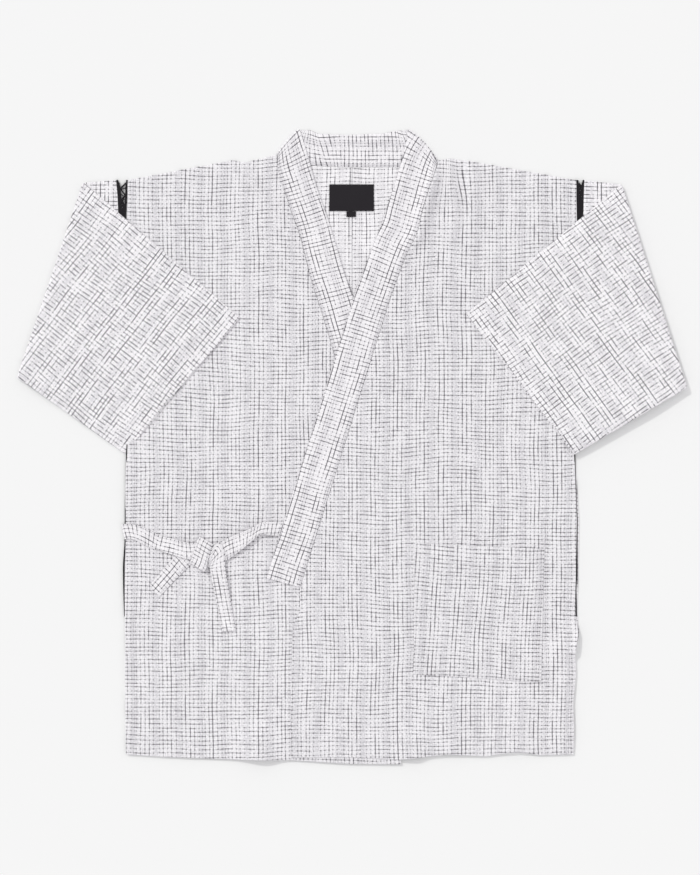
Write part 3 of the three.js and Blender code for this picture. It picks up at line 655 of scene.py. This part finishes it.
def front_points(edge_y, share, guides, collar, edge, side, shoulder, hem):
    """x and y of a front at heights down its edge and shares of the way to its side."""
    sign = math.copysign(1, collar[0][0])
    side_y = look_up(guides, edge_y)
    inner = front_edge_x(collar, edge, edge_y)
    x = inner + (sign * look_up(side, side_y) - inner) * share
    line = edge_y + (side_y - edge_y) * share
    top_line = guides[0][0] + (guides[0][1] - guides[0][0]) * share
    hem_line = guides[-1][0] + (guides[-1][1] - guides[-1][0]) * share
    by_top = 1 - smooth((top_line - line) / SHOULDER_FADE)
    by_hem = 1 - smooth((line - hem_line) / HEM_FADE)
    y = line + (look_up(shoulder, x) - top_line) * by_top + (look_up(hem, x) - hem_line) * by_hem
    return x, y


# Lace, by height: its edge on the body and its edge on the sleeve
LACE_RIGHT = [
    (335.5, 282.4, 297.1), (315, 283.3, 295.2), (291, 284.6, 294.2), (200, 284.4, 293.8),
    (78, 282.9, 293.5),
]
LACE_LEFT = [(335.5, 282.4, 292.6), (305, 283.0, 291.6), (276, 283.6, 290.9), (78, 282.9, 293.5)]

# How far the side edges of the fronts draw in from the side seam, by height
DRAWN_IN_RIGHT = [
    (335, 0), (315, -0.9), (291, -2.1), (200, -1.9), (78, -0.4), (30, 0), (-10, -1.2), (-39, -1.8),
    (-77, -1.6), (-124, -0.8), (-153, -1.6), (-200, -1.2), (-250, 0),
]
DRAWN_IN_LEFT = [
    (335, 0), (276, -1.1), (78, -0.4), (30, 0), (-10, 1.4), (-39, 2.2), (-77, 3.0), (-115, 3.1),
    (-181, 3.0), (-200, 1.9), (-230, 1.2), (-250, 0),
]


def thin_rim(from_edge, reach):
    """Share of full thickness near a sewn or turned edge."""
    return 0.45 + 0.55 * smooth(from_edge / reach)


def nearer_line(line, other):
    """The nearer of two sewn lines at each point."""
    return np.where(np.abs(other) < np.abs(line), other, line)


# Height between a front's rows, points across it, and how far in fronts and pocket are sewn
FRONT_STEP = 4.0
FRONT_ACROSS = 92
EDGE_STITCH = 9
HEM_STITCH = 20
POCKET_STITCH = 2.6
POCKET_TOP_STITCH = 24


def front_piece(
    name, node, guides, collar, edge, side, drawn_in, shoulder, hem, underside, creases, offset
):
    top, foot = guides[0][0], guides[-1][0]
    heights = np.linspace(top, foot, round((top - foot) / FRONT_STEP) + 1)
    edge_y, share = np.meshgrid(heights, np.linspace(0, 1, FRONT_ACROSS), indexing="ij")
    x, y = front_points(edge_y, share, guides, collar, edge, side, shoulder, hem)
    drawn = math.copysign(1, x[0, -1]) * look_up(drawn_in, edge_y) * smooth((share - 0.9) * 10)
    x = x - drawn
    free = 1 - lying_on(x, y)
    soft = 0.9 * noise(x, y, 95, 5) + 0.45 * noise(x, y, 31, 6) + 0.2 * noise(x, y, 13, 7)
    z = underside(x, y) + free * (crease_height(x, y, creases) + soft) + CLOTH / 2
    near_top = smooth((top - edge_y) / 10)
    z = z * near_top + (underside(x, y) + CLOTH / 2) * (1 - near_top)
    mid = np.stack([x, y, z], axis=-1)
    facing = up_like(mid)

    # The shoulder rolls over to the back
    run = mid[0, -1, :2] - mid[0, 0, :2]
    outward = np.array([-run[1], run[0], 0]) / np.hypot(*run)
    if outward[1] < 0:
        outward = -outward
    mid[0] -= outward * STACK / 2
    mid[0, :, 2] = STACK / 2 + LAYER / 2
    facing[0] = (0, 0, 1)
    roll, roll_facing = [], []
    for degrees in range(180, 0, -20):
        turn = math.radians(degrees)
        row = mid[0] + outward * LAYER / 2 * math.sin(turn)
        row[:, 2] = STACK / 2 + LAYER / 2 * math.cos(turn)
        roll.append(row)
        direction = outward * math.sin(turn) + np.array([0, 0, math.cos(turn)])
        roll_facing.append(np.broadcast_to(direction, row.shape))
    mid = np.concatenate([np.array(roll), mid])
    facing = np.concatenate([np.array(roll_facing), facing])

    # Hem stitching down the front edge below the band and along the foot
    extra = len(roll)
    down = np.concatenate([np.full(extra, heights[0]), heights])[:, None]
    from_edge = np.abs(mid[..., 0] - mid[:, :1, 0])
    from_side = np.abs(mid[..., 0] - mid[:, -1:, 0])
    from_foot = mid[..., 1] - mid[-1:, :, 1]
    front_line = np.where(down < BAND_END_Y - 6, from_edge - EDGE_STITCH, NO_LINE)
    side_line = np.where(down < SLIT_Y, from_side - EDGE_STITCH, NO_LINE)
    lines = nearer_line(nearer_line(from_foot - HEM_STITCH, front_line), side_line)
    weave = mid[..., :2] + np.array(offset)
    weave[..., 0] += gathered(mid[..., 0], mid[..., 1])
    rim = np.minimum(np.minimum(from_edge, from_side), from_foot)
    rim[:extra] = 10
    thin = thin_rim(rim, 4)
    mid[..., 2] -= 0.3 * (1 - thin)
    return shell(name, mid, facing, SINGLE * thin, weave, lines, COTTON, [node])


over_front = front_piece(
    "over_front", "front_left", GUIDES_OVER, COLLAR_OVER, EDGE_OVER, SIDE_LEFT, DRAWN_IN_LEFT,
    SHOULDER_OVER, HEM_OVER, lap_height, CREASES_OVER | COLLAR_RISE, (1210, 530),
)
under_front = front_piece(
    "under_front", "front_right", GUIDES_UNDER, COLLAR_UNDER, EDGE_UNDER, SIDE_RIGHT, DRAWN_IN_RIGHT,
    SHOULDER_UNDER, HEM_UNDER, lambda x, y: np.full(np.shape(x), LAYER), CREASES_UNDER, (3130, 970),
)


# Pocket, on the over front's own points, its size, and how far its grain is turned
POCKET_WIDTH = 164
POCKET_DEPTH = 168
POCKET_TURN = math.radians(3)


def pocket_piece():
    edge_y, part = np.meshgrid(np.linspace(-115.5, -277, 42), np.linspace(0, 1, 42), indexing="ij")
    right, left = look_up(GUIDES_OVER, edge_y, 2), look_up(GUIDES_OVER, edge_y, 3)
    inner = front_edge_x(COLLAR_OVER, EDGE_OVER, edge_y)
    outer = look_up(SIDE_LEFT, look_up(GUIDES_OVER, edge_y))
    share = (right + (left - right) * part - inner) / (outer - inner)
    x, y = front_points(
        edge_y, share, GUIDES_OVER, COLLAR_OVER, EDGE_OVER, SIDE_LEFT, SHOULDER_OVER, HEM_OVER
    )
    down = (edge_y - edge_y[0]) / (edge_y[-1] - edge_y[0])
    loose = np.sin(math.pi * part) * (1 - down) ** 2
    belly = 0.8 * np.sin(math.pi * part) * np.sin(math.pi * down) * noise(x, y, 42, 9)
    ripple = 1.1 * np.exp(-(((part - 0.9 - 0.05 * down) / 0.05) ** 2))
    ripple = ripple * smooth(down * 3) * smooth((1 - down) * 3)
    z = lap_height(x, y) + LAYER + 0.9 * loose + belly + ripple + CLOTH / 2
    mid = np.stack([x, y, z], axis=-1)
    rim = np.minimum(np.minimum(part, 1 - part) * POCKET_WIDTH, (1 - down) * POCKET_DEPTH)
    lines = nearer_line(rim - POCKET_STITCH, down * POCKET_DEPTH - POCKET_TOP_STITCH)
    thin = thin_rim(rim, 6)
    facing = up_like(mid)
    mid[..., 2] -= 0.75 * (1 - thin)
    c, s = math.cos(POCKET_TURN), math.sin(POCKET_TURN)
    weave = np.stack([x * c - y * s, x * s + y * c], axis=-1) + np.array((5270, 2310))
    return shell(
        "patch_pocket", mid, facing, SINGLE * thin, weave, lines, COTTON, ["pocket"]
    )


pocket = pocket_piece()


# Backs, flat on the surface


def back_piece(name, node, sign, side, grid_offset):
    up, share = np.meshgrid(np.linspace(0, 1, 190), np.linspace(0, 1, 74), indexing="ij")
    shoulder = SHOULDER_OVER if sign > 0 else SHOULDER_UNDER
    level = BACK_HEM_Y + up * (SHOULDER_Y - STACK / 2 - GAP - BACK_HEM_Y)
    x = sign * (GAP / 2 + share * (look_up(side, level) - GAP / 2))
    over_shoulder = look_up(shoulder, x) - STACK / 2 - 2 * GAP
    top = np.where(np.abs(x) < NECKLINE[-1][0], look_up(NECKLINE, x), over_shoulder)
    y = BACK_HEM_Y + up * (top - BACK_HEM_Y)
    mid = np.stack([x, y, np.full(x.shape, CLOTH / 2)], axis=-1)
    facing = np.broadcast_to(np.array([0.0, 0.0, 1.0]), mid.shape)
    seam = np.abs(x) - 1.0
    weave = mid[..., :2] + np.array(grid_offset)
    return shell(name, mid, facing, CLOTH, weave, seam, COTTON_INSIDE, [node])


back_right = back_piece("back_panel_right", "back_right", -1, SIDE_RIGHT, (7730, 410))
back_left = back_piece("back_panel_left", "back_left", 1, SIDE_LEFT, (9110, 1130))


# Strips: collar band and ties


def outward_of(section, neighbour):
    """Level direction square to a section, on the side away from its neighbour."""
    ax, ay, bx, by = section[:4]
    outward = np.array([ay - by, bx - ax, 0.0]) / math.hypot(bx - ax, by - ay)
    away = np.array([ax + bx - neighbour[0] - neighbour[2], ay + by - neighbour[1] - neighbour[3]])
    return -outward if outward[:2] @ away < 0 else outward


def half_turn(outward, rise, thickness, start=0):
    """Shift and facing at each step of a fold that turns cloth over onto another level."""
    for degrees in range(start, 181, 15):
        turn = math.radians(degrees)
        shift = outward * (abs(rise) / 2 * (math.sin(turn) - 1) - thickness / 2)
        shift[2] = rise * (1 - math.cos(turn)) / 2
        facing = np.array([0, 0, math.cos(turn)]) - outward * math.copysign(math.sin(turn), rise)
        yield shift, facing


def strip_rows(sections, folds, thickness):
    """Edge points a and b and the facing of each row, with half-turns where a section folds over."""
    rows = []
    side = 1.0
    for k, section in enumerate(sections):
        ax, ay, bx, by, level = section
        a = np.array([ax, ay, level + thickness / 2])
        b = np.array([bx, by, level + thickness / 2])
        if k not in folds:
            rows.append((a, b, np.array([0, 0, side])))
            continue
        target, start = folds[k]
        outward = outward_of(section, sections[k - 1 if k else 1])
        for shift, facing in half_turn(outward, target - level, thickness, start):
            rows.append((a + shift, b + shift, facing * side))
        side = -side
    return [np.array(part) for part in zip(*rows)]


def refine(values, knots, at):
    """Rows between rows on smooth curves through them."""
    slopes = np.gradient(values, knots, axis=0)
    k = np.clip(np.searchsorted(knots, at, side="right") - 1, 0, len(knots) - 2)
    width = (knots[k + 1] - knots[k])[:, None]
    t = ((at - knots[k]) / (knots[k + 1] - knots[k]))[:, None]
    cube, square = t**3, t**2
    return (
        values[k] * (2 * cube - 3 * square + 1) + slopes[k] * width * (cube - 2 * square + t)
        + values[k + 1] * (3 * square - 2 * cube) + slopes[k + 1] * width * (cube - square)
    )


def run_along(middle):
    """Length from the first point of a line to each of its points."""
    return np.concatenate([[0], np.cumsum(np.linalg.norm(np.diff(middle, axis=0), axis=1))])


def rounded_edge(from_edge, reach, least):
    """Share of full thickness towards a rounded edge."""
    return np.sqrt(np.clip(1 - (1 - np.clip(from_edge / reach, 0, 1)) ** 2, least, 1))


# How far in the strips are sewn, and how much thinner their shells are than the solids
STITCH_IN = 2.2
EDGE_SOFT = 0.1


def tie_piece(name, node, sections, folds, offset, across=13, step=2.0):
    a, b, facing = strip_rows(sections, folds, CLOTH)
    knots = run_along((a + b) / 2)
    at = np.linspace(0, knots[-1], int(knots[-1] / step) + 1)
    at = np.unique(np.concatenate([at, knots]))
    a, b, facing = refine(a, knots, at), refine(b, knots, at), refine(facing, knots, at)
    facing /= np.linalg.norm(facing, axis=-1, keepdims=True)
    share = np.linspace(0, 1, across)[None]
    mid = a[:, None] + (b - a)[:, None] * share[..., None]
    width = np.linalg.norm(b - a, axis=1)[:, None]
    from_edge = np.minimum(share, 1 - share) * width
    thick = (CLOTH - EDGE_SOFT) * rounded_edge(from_edge, 1.6, 0.08)
    run = np.repeat(at[:, None], across, axis=1)
    weave = np.stack([share * width, run], axis=-1) + np.array(offset)
    lines = from_edge - STITCH_IN
    return shell(name, mid, facing[:, None], thick, weave, lines, COTTON_CRISP, [node])


tie_side = tie_piece("side_tie", "tie_side", TIE_SIDE, TIE_SIDE_FOLDS, (313, 127))
tie_front = tie_piece("front_tie", "tie_front", TIE_FRONT, TIE_FRONT_FOLDS, (601, 1423))


# Collar band, and how far its two folds bow out at the neck's corners
FOLD_BOW = (1.9, 3.2)
BAND_STEP = 3.5
BAND_OFFSET = (2111, 3307)


def band_rows(table):
    """Sections down one front's band, and whether each is raised off the cloth by the neck."""
    ys = np.concatenate([np.arange(NECK_Y - 6, BAND_END_Y, -BAND_STEP), [BAND_END_Y]])
    rows = []
    for y in ys.tolist():
        ax, bx, by = (float(rounded_look_up(table, y, column, 1)) for column in (0, 2, 3))
        raised = look_up([(BAND_RAISED_Y - 14, 0), (BAND_RAISED_Y, 1)], y)
        rows.append((ax, y, bx, by, float(raised)))
    return rows


def collar_piece():
    under, over = band_rows(COLLAR_UNDER), band_rows(COLLAR_OVER)
    back = [(*row, 0.0) for row in COLLAR_BACK]
    sections = [*under[::-1], (*COLLAR_UNDER[0], 1.0), *back, (*COLLAR_OVER[0], 0.0), *over]
    first_fold, last_fold = len(under), len(under) + len(back) + 1
    folds = {first_fold: (BAND_TOP, 0.0, FOLD_BOW[0]), last_fold: (0.0, BAND_TOP, FOLD_BOW[1])}
    across = 15
    shares = np.linspace(0, 1, across)
    rows = []
    side = 1.0
    for k, section in enumerate(sections):
        ax, ay, bx, by, raised = section
        x, y = ax + (bx - ax) * shares, ay + (by - ay) * shares
        width = math.hypot(bx - ax, by - ay)
        on_front = LAYER + (BAND_TOP - LAYER) * raised
        z = np.full(across, BAND / 2)
        if k < first_fold:
            z += on_front
        elif k > last_fold:
            z += np.maximum(lap_height(x, y), on_front) + crease_height(x, y, COLLAR_RISE)
        row = np.stack([x, y, z], axis=-1)
        if k not in folds:
            rows.append((row, np.array([0, 0, side]), width))
            continue
        level, target, bow = folds[k]
        outward = outward_of(section, sections[k - 1])
        row += outward * bow * np.sin(math.pi * shares)[:, None] + np.array([0, 0, level])
        for shift, facing in half_turn(outward, target - level, BAND):
            rows.append((row + shift, facing * side, width))
        side = -side
    mid, facing, width = (np.array(part) for part in zip(*rows))
    over_width = shares * width[:, None]
    from_edge = np.minimum(shares, 1 - shares) * width[:, None]
    thick = (BAND - EDGE_SOFT) * rounded_edge(from_edge, 3.0, 0.06)
    run = np.repeat(run_along(mid[:, across // 2])[:, None], across, axis=1)
    weave = np.stack([over_width, run], axis=-1) + np.array(BAND_OFFSET)
    lines = over_width - STITCH_IN
    # A painted shadow line along the under band's free edge, where it lies over the back, drawn with
    # the sewn lines
    painted_shadow_line = (1 - shares) * width[:, None] - 0.4
    is_under = np.arange(len(lines))[:, None] < first_fold
    lines = np.where(is_under & (np.abs(painted_shadow_line) < np.abs(lines)), painted_shadow_line, lines)
    return shell(
        "collar_band", mid, facing[:, None], thick, weave, lines, COTTON_CRISP, ["collar"]
    )


collar = collar_piece()


# Sleeves: flattened tubes, folded over their line and laid back on the fronts


# Steps across a sleeve, up to its fold and past it, how far in its seam is sewn, and how the
# grain of its two sides is set apart
SLEEVE_ACROSS = 62
UP_TO_FOLD = 15
PAST_FOLD = 58
SLEEVE_SEAM_IN = 4.6
UPPER_WEAVE_SHIFT = 160.0


def flat_loop(top, foot, facing, radius, across):
    edge = (top - foot) / np.linalg.norm(top - foot)
    top_centre = top - edge * STACK / 2
    foot_centre = foot + edge * STACK / 2
    shares = np.linspace(0, 1, across + 1)[:, None]
    flat = top_centre + (foot_centre - top_centre) * shares
    turns = np.radians([30, 60, 90, 120, 150])[:, None]
    foot_turn = foot_centre + facing * radius * np.cos(turns) - edge * radius * np.sin(turns)
    top_turn = top_centre - facing * radius * np.cos(turns) + edge * radius * np.sin(turns)
    return np.concatenate([flat + facing * radius, foot_turn, flat[::-1] - facing * radius, top_turn])


def sleeve_stations(sign, sizes, shoulder, underarm, outward):
    """Top, foot and facing of each ring: mark 0 is up to the fold, 1 past it and 2 at the cuff."""
    stations = []
    up = np.array([0.0, 0, 1])
    start_top = np.array([sign * ARMHOLE_X, SHOULDER_Y, 0])
    start_foot = np.array([sign * ARMHOLE_X, ARMHOLE_Y, 0])
    for share in np.linspace(0, 1, UP_TO_FOLD + 1)[:-1]:
        top = start_top * (1 - share) + shoulder * share
        foot = start_foot * (1 - share) + underarm * share
        top[2] = foot[2] = STACK / 2
        stations.append((top, foot, up, 0.0))
    for degrees in range(0, 181, 15):
        turn = math.radians(degrees)
        shift = outward * (LAYER * math.sin(turn) - LAYER - STACK / 2)
        shift = shift + up * (STACK + GAP / 2 - LAYER * math.cos(turn))
        facing = up * math.cos(turn) - outward * math.sin(turn)
        stations.append((shoulder + shift, underarm + shift, facing, degrees / 180))
    top, foot, facing, _ = stations[-1]
    to_cuff_top = np.array([*sizes["cuff_top"], top[2]]) - top
    to_cuff_foot = np.array([*sizes["cuff_under"], foot[2]]) - foot
    for share in np.linspace(0, 1, PAST_FOLD + 1)[1:]:
        stations.append((top + to_cuff_top * share, foot + to_cuff_foot * share, facing, 1 + share))
    return stations, to_cuff_foot


def shape_before_fold(loop, upper, sign):
    """Soft waves below, and the ring's place beside the lace."""
    x, y = loop[:, 0], loop[:, 1]
    past = np.abs(x) - ARMHOLE_X
    loop[:, 2] += np.where(upper, 0.0, 0.5 * noise(x, y, 40, 25) * smooth(past / 12))
    lace = LACE_LEFT if sign > 0 else LACE_RIGHT
    loop[:, 0] += sign * (look_up(lace, y, 2) - ARMHOLE_X) * (1 - np.clip(past / 30, 0, 1))


def shape_laid_back(loop, upper, down, width, mark, base, run, sign, hang):
    """Waves, thinner edges and the cuff's uneven end, on the part that lies on the front."""
    x, y = loop[:, 0], loop[:, 1]
    puff = 1.3 * np.sin(math.pi * np.clip(down / width, 0, 1)) * smooth((mark - 1) * 3)
    waves = noise(x, y, 70, 21 + int(sign)) + 0.5 * noise(x, y, 26, 23 + int(sign))

    # The underarm seam lies a little inside the lower edge, and the cloth steps down there
    step_down = 0.5 * (1 - smooth((width - down - 3.5) / 3))
    loop[:, 2] += np.where(upper, puff * waves - step_down, 0.0)
    length = np.linalg.norm(run)
    from_foot = width - down + (100 if hang > 0 else 0)
    from_edges = np.minimum(np.minimum(down, from_foot), (2 - mark) * length)
    loop[:, 2] = base + (loop[:, 2] - base) * (1 - 0.5 * (1 - smooth(from_edges / 16)))
    loop[:, 2] += hang * smooth((np.abs(x) - 262) / 14) * smooth((ARMHOLE_Y + 4 - y) / 40)
    back = 2.4 * smooth((mark - 1.86) / 0.14) * smooth((down / width - 0.22) / 0.2)
    back = back * (0.35 + 0.65 * smooth(2 * noise(x, y, 34, 41) - 0.4))
    loop -= run / length * np.where(upper, back, 0.0)[:, None]


def tube_faces(count, around):
    """Faces of a doubled tube of rings, its outer wall first, closed at both ends."""
    size = count * around
    index = np.arange(size).reshape(count, around)
    after = np.roll(index, -1, axis=1)
    outer = np.stack([index[:-1], after[:-1], after[1:], index[1:]], axis=-1).reshape(-1, 4)
    inner = np.roll(outer[:, ::-1], 1, axis=1) + size
    first = np.stack([index[0], index[0] + size, after[0] + size, after[0]], axis=-1)
    last = np.stack([index[-1], after[-1], after[-1] + size, index[-1] + size], axis=-1)
    return np.concatenate([outer, inner, first, last])


def sleeve_piece(name, node, sign, sizes, offset):
    shoulder = np.array([*sizes["shoulder"], 0.0])
    underarm = np.array([*sizes["underarm"], 0.0])
    line = (underarm - shoulder) / np.linalg.norm(underarm - shoulder)
    outward = np.array([-line[1], line[0], 0.0])
    if outward[0] * sign < 0:
        outward = -outward
    stations, run = sleeve_stations(sign, sizes, shoulder, underarm, outward)
    points, weave, lines = [], [], []
    for radius in (STACK / 2 - 0.08, GAP / 2):
        for top, foot, facing, mark in stations:
            loop = flat_loop(top, foot, facing, radius, SLEEVE_ACROSS)
            width = np.linalg.norm(top - foot)
            down = (top - loop) @ (top - foot) / width
            upper = (loop - (top + foot) / 2) @ facing < 0
            rise = sizes["rise"] * np.maximum(0, np.abs(loop[:, 0]) - ARMHOLE_X)
            loop[:, 2] += rise
            if mark <= 0:
                shape_before_fold(loop, upper, sign)
            if mark >= 1:
                base = STACK + GAP + rise
                shape_laid_back(loop, upper, down, width, mark, base, run, sign, sizes["hang"])
            points.append(loop)
            flat = loop[:, :2].copy()
            if mark >= 0.5:
                flat -= 2 * ((flat - shoulder[:2]) @ outward[:2])[:, None] * outward[:2]
            weave.append(flat + np.array(offset) + np.where(upper, UPPER_WEAVE_SHIFT, 0.0)[:, None])
            on_seam = upper & (mark >= 1)
            lines.append(np.where(on_seam, width - down - SLEEVE_SEAM_IN, NO_LINE))
    faces = tube_faces(len(stations), len(points[0]))
    return make_object(
        name, np.concatenate(points), faces, np.concatenate(weave), np.concatenate(lines),
        COTTON_SLEEVE, [node],
    )


sleeve_right = sleeve_piece("right_sleeve", "sleeve_right", -1, SLEEVES["right"], (4010, 2710))
sleeve_left = sleeve_piece("left_sleeve", "sleeve_left", 1, SLEEVES["left"], (6130, 3890))


# Lace, tapes and labels


def level_path(xs, ys, level):
    return np.stack([xs, ys, np.full(len(ys), level)], axis=-1)


def ribbon(path, width, thickness):
    """Points and faces of a thin flat ribbon along a level path, of one width or many."""
    along = np.gradient(path, axis=0)
    side = np.stack([-along[:, 1], along[:, 0], np.zeros(len(path))], axis=-1)
    side /= np.linalg.norm(side, axis=-1, keepdims=True)
    half = side * np.reshape(width, (-1, 1)) / 2
    mid = np.stack([path - half, path + half], axis=1)
    facing = np.zeros_like(mid)
    facing[..., 2] = 1
    return shell_parts(mid, facing, thickness)


def join(parts):
    points, faces, start = [], [], 0
    for part_points, part_faces in parts:
        points.append(part_points)
        faces.append(part_faces + start)
        start += len(part_points)
    return np.concatenate(points), np.concatenate(faces)


# Levels of the lace's two walls, and thickness and width of its threads
LACE_LEVELS = (0.55, 2.15)
RAIL_THICK = 0.9
CORD_THICK = 0.6
CROSS_THICK = 0.5
CROSS_WIDTH = 0.8


def lace_piece(name, node, sign, edges, rails, turn, cord, closing):
    """Two rails, with a cord between them that turns from side to side and closes up lower down."""
    low, high = ARMHOLE_Y, SHOULDER_Y
    ys = np.linspace(low, high, 60)
    at_top = smooth((ys - high + 6) / 5)
    rail_widths = [rails[0] * (1 - 0.25 * at_top), rails[1] * (1 - 0.5 * at_top)]
    body_rail = look_up(edges, ys, 1) + rail_widths[0] / 2
    sleeve_rail = look_up(edges, ys, 2) - rail_widths[1] / 2
    marks = np.arange(high - 4, low, -turn)[::-1]
    marks = marks + 0.9 * np.sin(2.3 * np.arange(len(marks)))
    ends = [look_up(edges, marks, 1) + rails[0] - 0.2, look_up(edges, marks, 2) - rails[1] + 0.2]
    turns = np.where(np.arange(len(marks)) % 2 == 0, ends[0], ends[1])
    cord_ys = np.linspace(marks[0], marks[-1], 6 * len(marks))
    cord_widths = cord * (1 + closing * smooth((316 - cord_ys) / 24))
    parts = []
    for z in LACE_LEVELS:
        for middle, rail in zip((body_rail, sleeve_rail), rail_widths):
            parts.append(ribbon(level_path(sign * middle, ys, z), rail, RAIL_THICK))
        cord_xs = sign * np.interp(cord_ys, marks, turns)
        parts.append(ribbon(level_path(cord_xs, cord_ys, z + 0.1), cord_widths, CORD_THICK))
        for k, mark in enumerate(marks[:-1]):
            slant = 1.6 if k % 2 == 0 else -1.1
            tie_ys = np.clip(mark + np.array([-slant, 0, slant]), low, high - 3)
            tie_xs = sign * np.array([ends[0][k], (ends[0][k] + ends[1][k]) / 2, ends[1][k]])
            parts.append(ribbon(level_path(tie_xs, tie_ys, z - 0.1), CROSS_WIDTH, CROSS_THICK))
    points, faces = join(parts)
    return make_object(
        name, points, faces, points[:, :2], np.full(len(points), NO_LINE), LACE, [node]
    )


lace_piece(
    "right_armhole_lace", "lace_right", -1, LACE_RIGHT,
    rails=(2.4, 4.6), turn=7.3, cord=1.7, closing=1.9,
)
lace_piece(
    "left_armhole_lace", "lace_left", 1, LACE_LEFT,
    rails=(3.4, 3.6), turn=4.2, cord=2.4, closing=0.6,
)


# How far the tapes stand out past the fronts' edges, by height, and their straight part
TAPE_LEG = 0.7
TAPE_SHOWS_RIGHT = [
    (78, -0.5), (-50, -0.5), (-72, 0.2), (-96, 0.4), (-124, 1.0), (-145, 1.8), (-165, 1.7), (-181, 1.3),
    (-200, 0.6), (-214, 0.2),
]
TAPE_SHOWS_LEFT = [
    (78, 0.3), (-12, 1.2), (-39, 0.6), (-77, 0.45), (-115, 0.8), (-140, 1.1), (-153, 1.3), (-181, 0.7),
    (-214, 0.8),
]


def tape_piece(name, node, sign, side, drawn_in, shows):
    ys = np.linspace(ARMHOLE_Y - GAP, SLIT_Y, 90)
    edge = look_up(side, ys) - look_up(drawn_in, ys) + GAP / 2
    bow = look_up(shows, ys) - TAPE_LEG - LAYER / 2
    rows = [(edge, STACK - CLOTH / 2, 0.0)]
    for turn in map(math.radians, range(0, 181, 20)):
        out = edge + TAPE_LEG + bow + LAYER / 2 * math.sin(turn)
        rows.append((out, STACK / 2 + LAYER / 2 * math.cos(turn), turn))
    rows.append((edge, CLOTH / 2, math.pi))
    mid = np.stack([level_path(sign * out, ys, level) for out, level, _ in rows], axis=1)
    facing = np.array([(sign * math.sin(turn), 0, math.cos(turn)) for _, _, turn in rows])
    across = np.broadcast_to(np.linspace(0, 5, len(rows)), mid.shape[:2])
    weave = np.stack([across, mid[..., 1]], axis=-1)
    lines = np.full(mid.shape[:2], NO_LINE)
    return shell(name, mid, facing, SINGLE, weave, lines, LACE, [node])


tape_piece(
    "right_side_tape", "side_lace_right", -1, SIDE_RIGHT, DRAWN_IN_RIGHT, TAPE_SHOWS_RIGHT
)
tape_piece(
    "left_side_tape", "side_lace_left", 1, SIDE_LEFT, DRAWN_IN_LEFT, TAPE_SHOWS_LEFT
)


LABEL_THICK = 0.8
LABEL_RAISED = 0.45
LABEL_STITCH = 1.6


def label_piece(name, node, x0, x1, y0, y1, bulge):
    x, y = np.meshgrid(np.linspace(x0, x1, 29), np.linspace(y0, y1, 19), indexing="ij")
    part, rise = (x - x0) / (x1 - x0), (y - y0) / (y1 - y0)
    swell = bulge * np.sin(math.pi * part) * np.sin(math.pi * rise)
    z = LAYER + LABEL_RAISED + swell * (0.5 + noise(x, y, 14, 31))
    mid = np.stack([x, y, z], axis=-1)
    lines = np.minimum(np.minimum(x - x0, x1 - x), np.minimum(y - y0, y1 - y)) - LABEL_STITCH
    return shell(name, mid, up_like(mid), LABEL_THICK, mid[..., :2], lines, LABEL, [node])


neck_label = label_piece("neck_label_cloth", "neck_label", -28.5, 27.5, 296.5, 330, 0.5)
label_piece("size_label_cloth", "size_label", -7, 5, 289, 296.2, 0.1)


# Floor and light

FLOOR_HALF = 25.0
FLOOR_Z = -0.0002
SKY_COLOUR = (0.993, 0.990, 1.0, 1)
SKY_STRENGTH = 0.823
SUN_STRENGTH = 1.056
SUN_COLOUR = (0.99, 1.0, 0.962)
SUN_WIDTH = math.radians(4)
SUN_TURN = (math.radians(-34.5), math.radians(-40.7), 0)
floor_mesh = bpy.data.meshes.new("floor")
corners = [(x * FLOOR_HALF, y * FLOOR_HALF, FLOOR_Z) for x, y in ((-1, -1), (1, -1), (1, 1), (-1, 1))]
floor_mesh.from_pydata(corners, [], [(0, 1, 2, 3)])
floor = bpy.data.objects.new("floor", floor_mesh)
bpy.context.scene.collection.objects.link(floor)
floor_material, _, floor_shader = new_material("pale floor")
floor_shader.inputs["Base Color"].default_value = (0.9, 0.9, 0.9, 1)
floor_shader.inputs["Roughness"].default_value = 0.95
floor_shader.inputs["Specular IOR Level"].default_value = 0.0
floor_mesh.materials.append(floor_material)

world = bpy.data.worlds.new("studio")
world.use_nodes = True
background = next(node for node in world.node_tree.nodes if node.type == "BACKGROUND")
background.inputs[0].default_value = SKY_COLOUR
background.inputs[1].default_value = SKY_STRENGTH
scene.world = world

sun_data = bpy.data.lights.new("key", "SUN")
sun_data.energy = SUN_STRENGTH
sun_data.color = SUN_COLOUR
sun_data.angle = SUN_WIDTH
sun = bpy.data.objects.new("key", sun_data)
sun.rotation_euler = SUN_TURN
scene.collection.objects.link(sun)
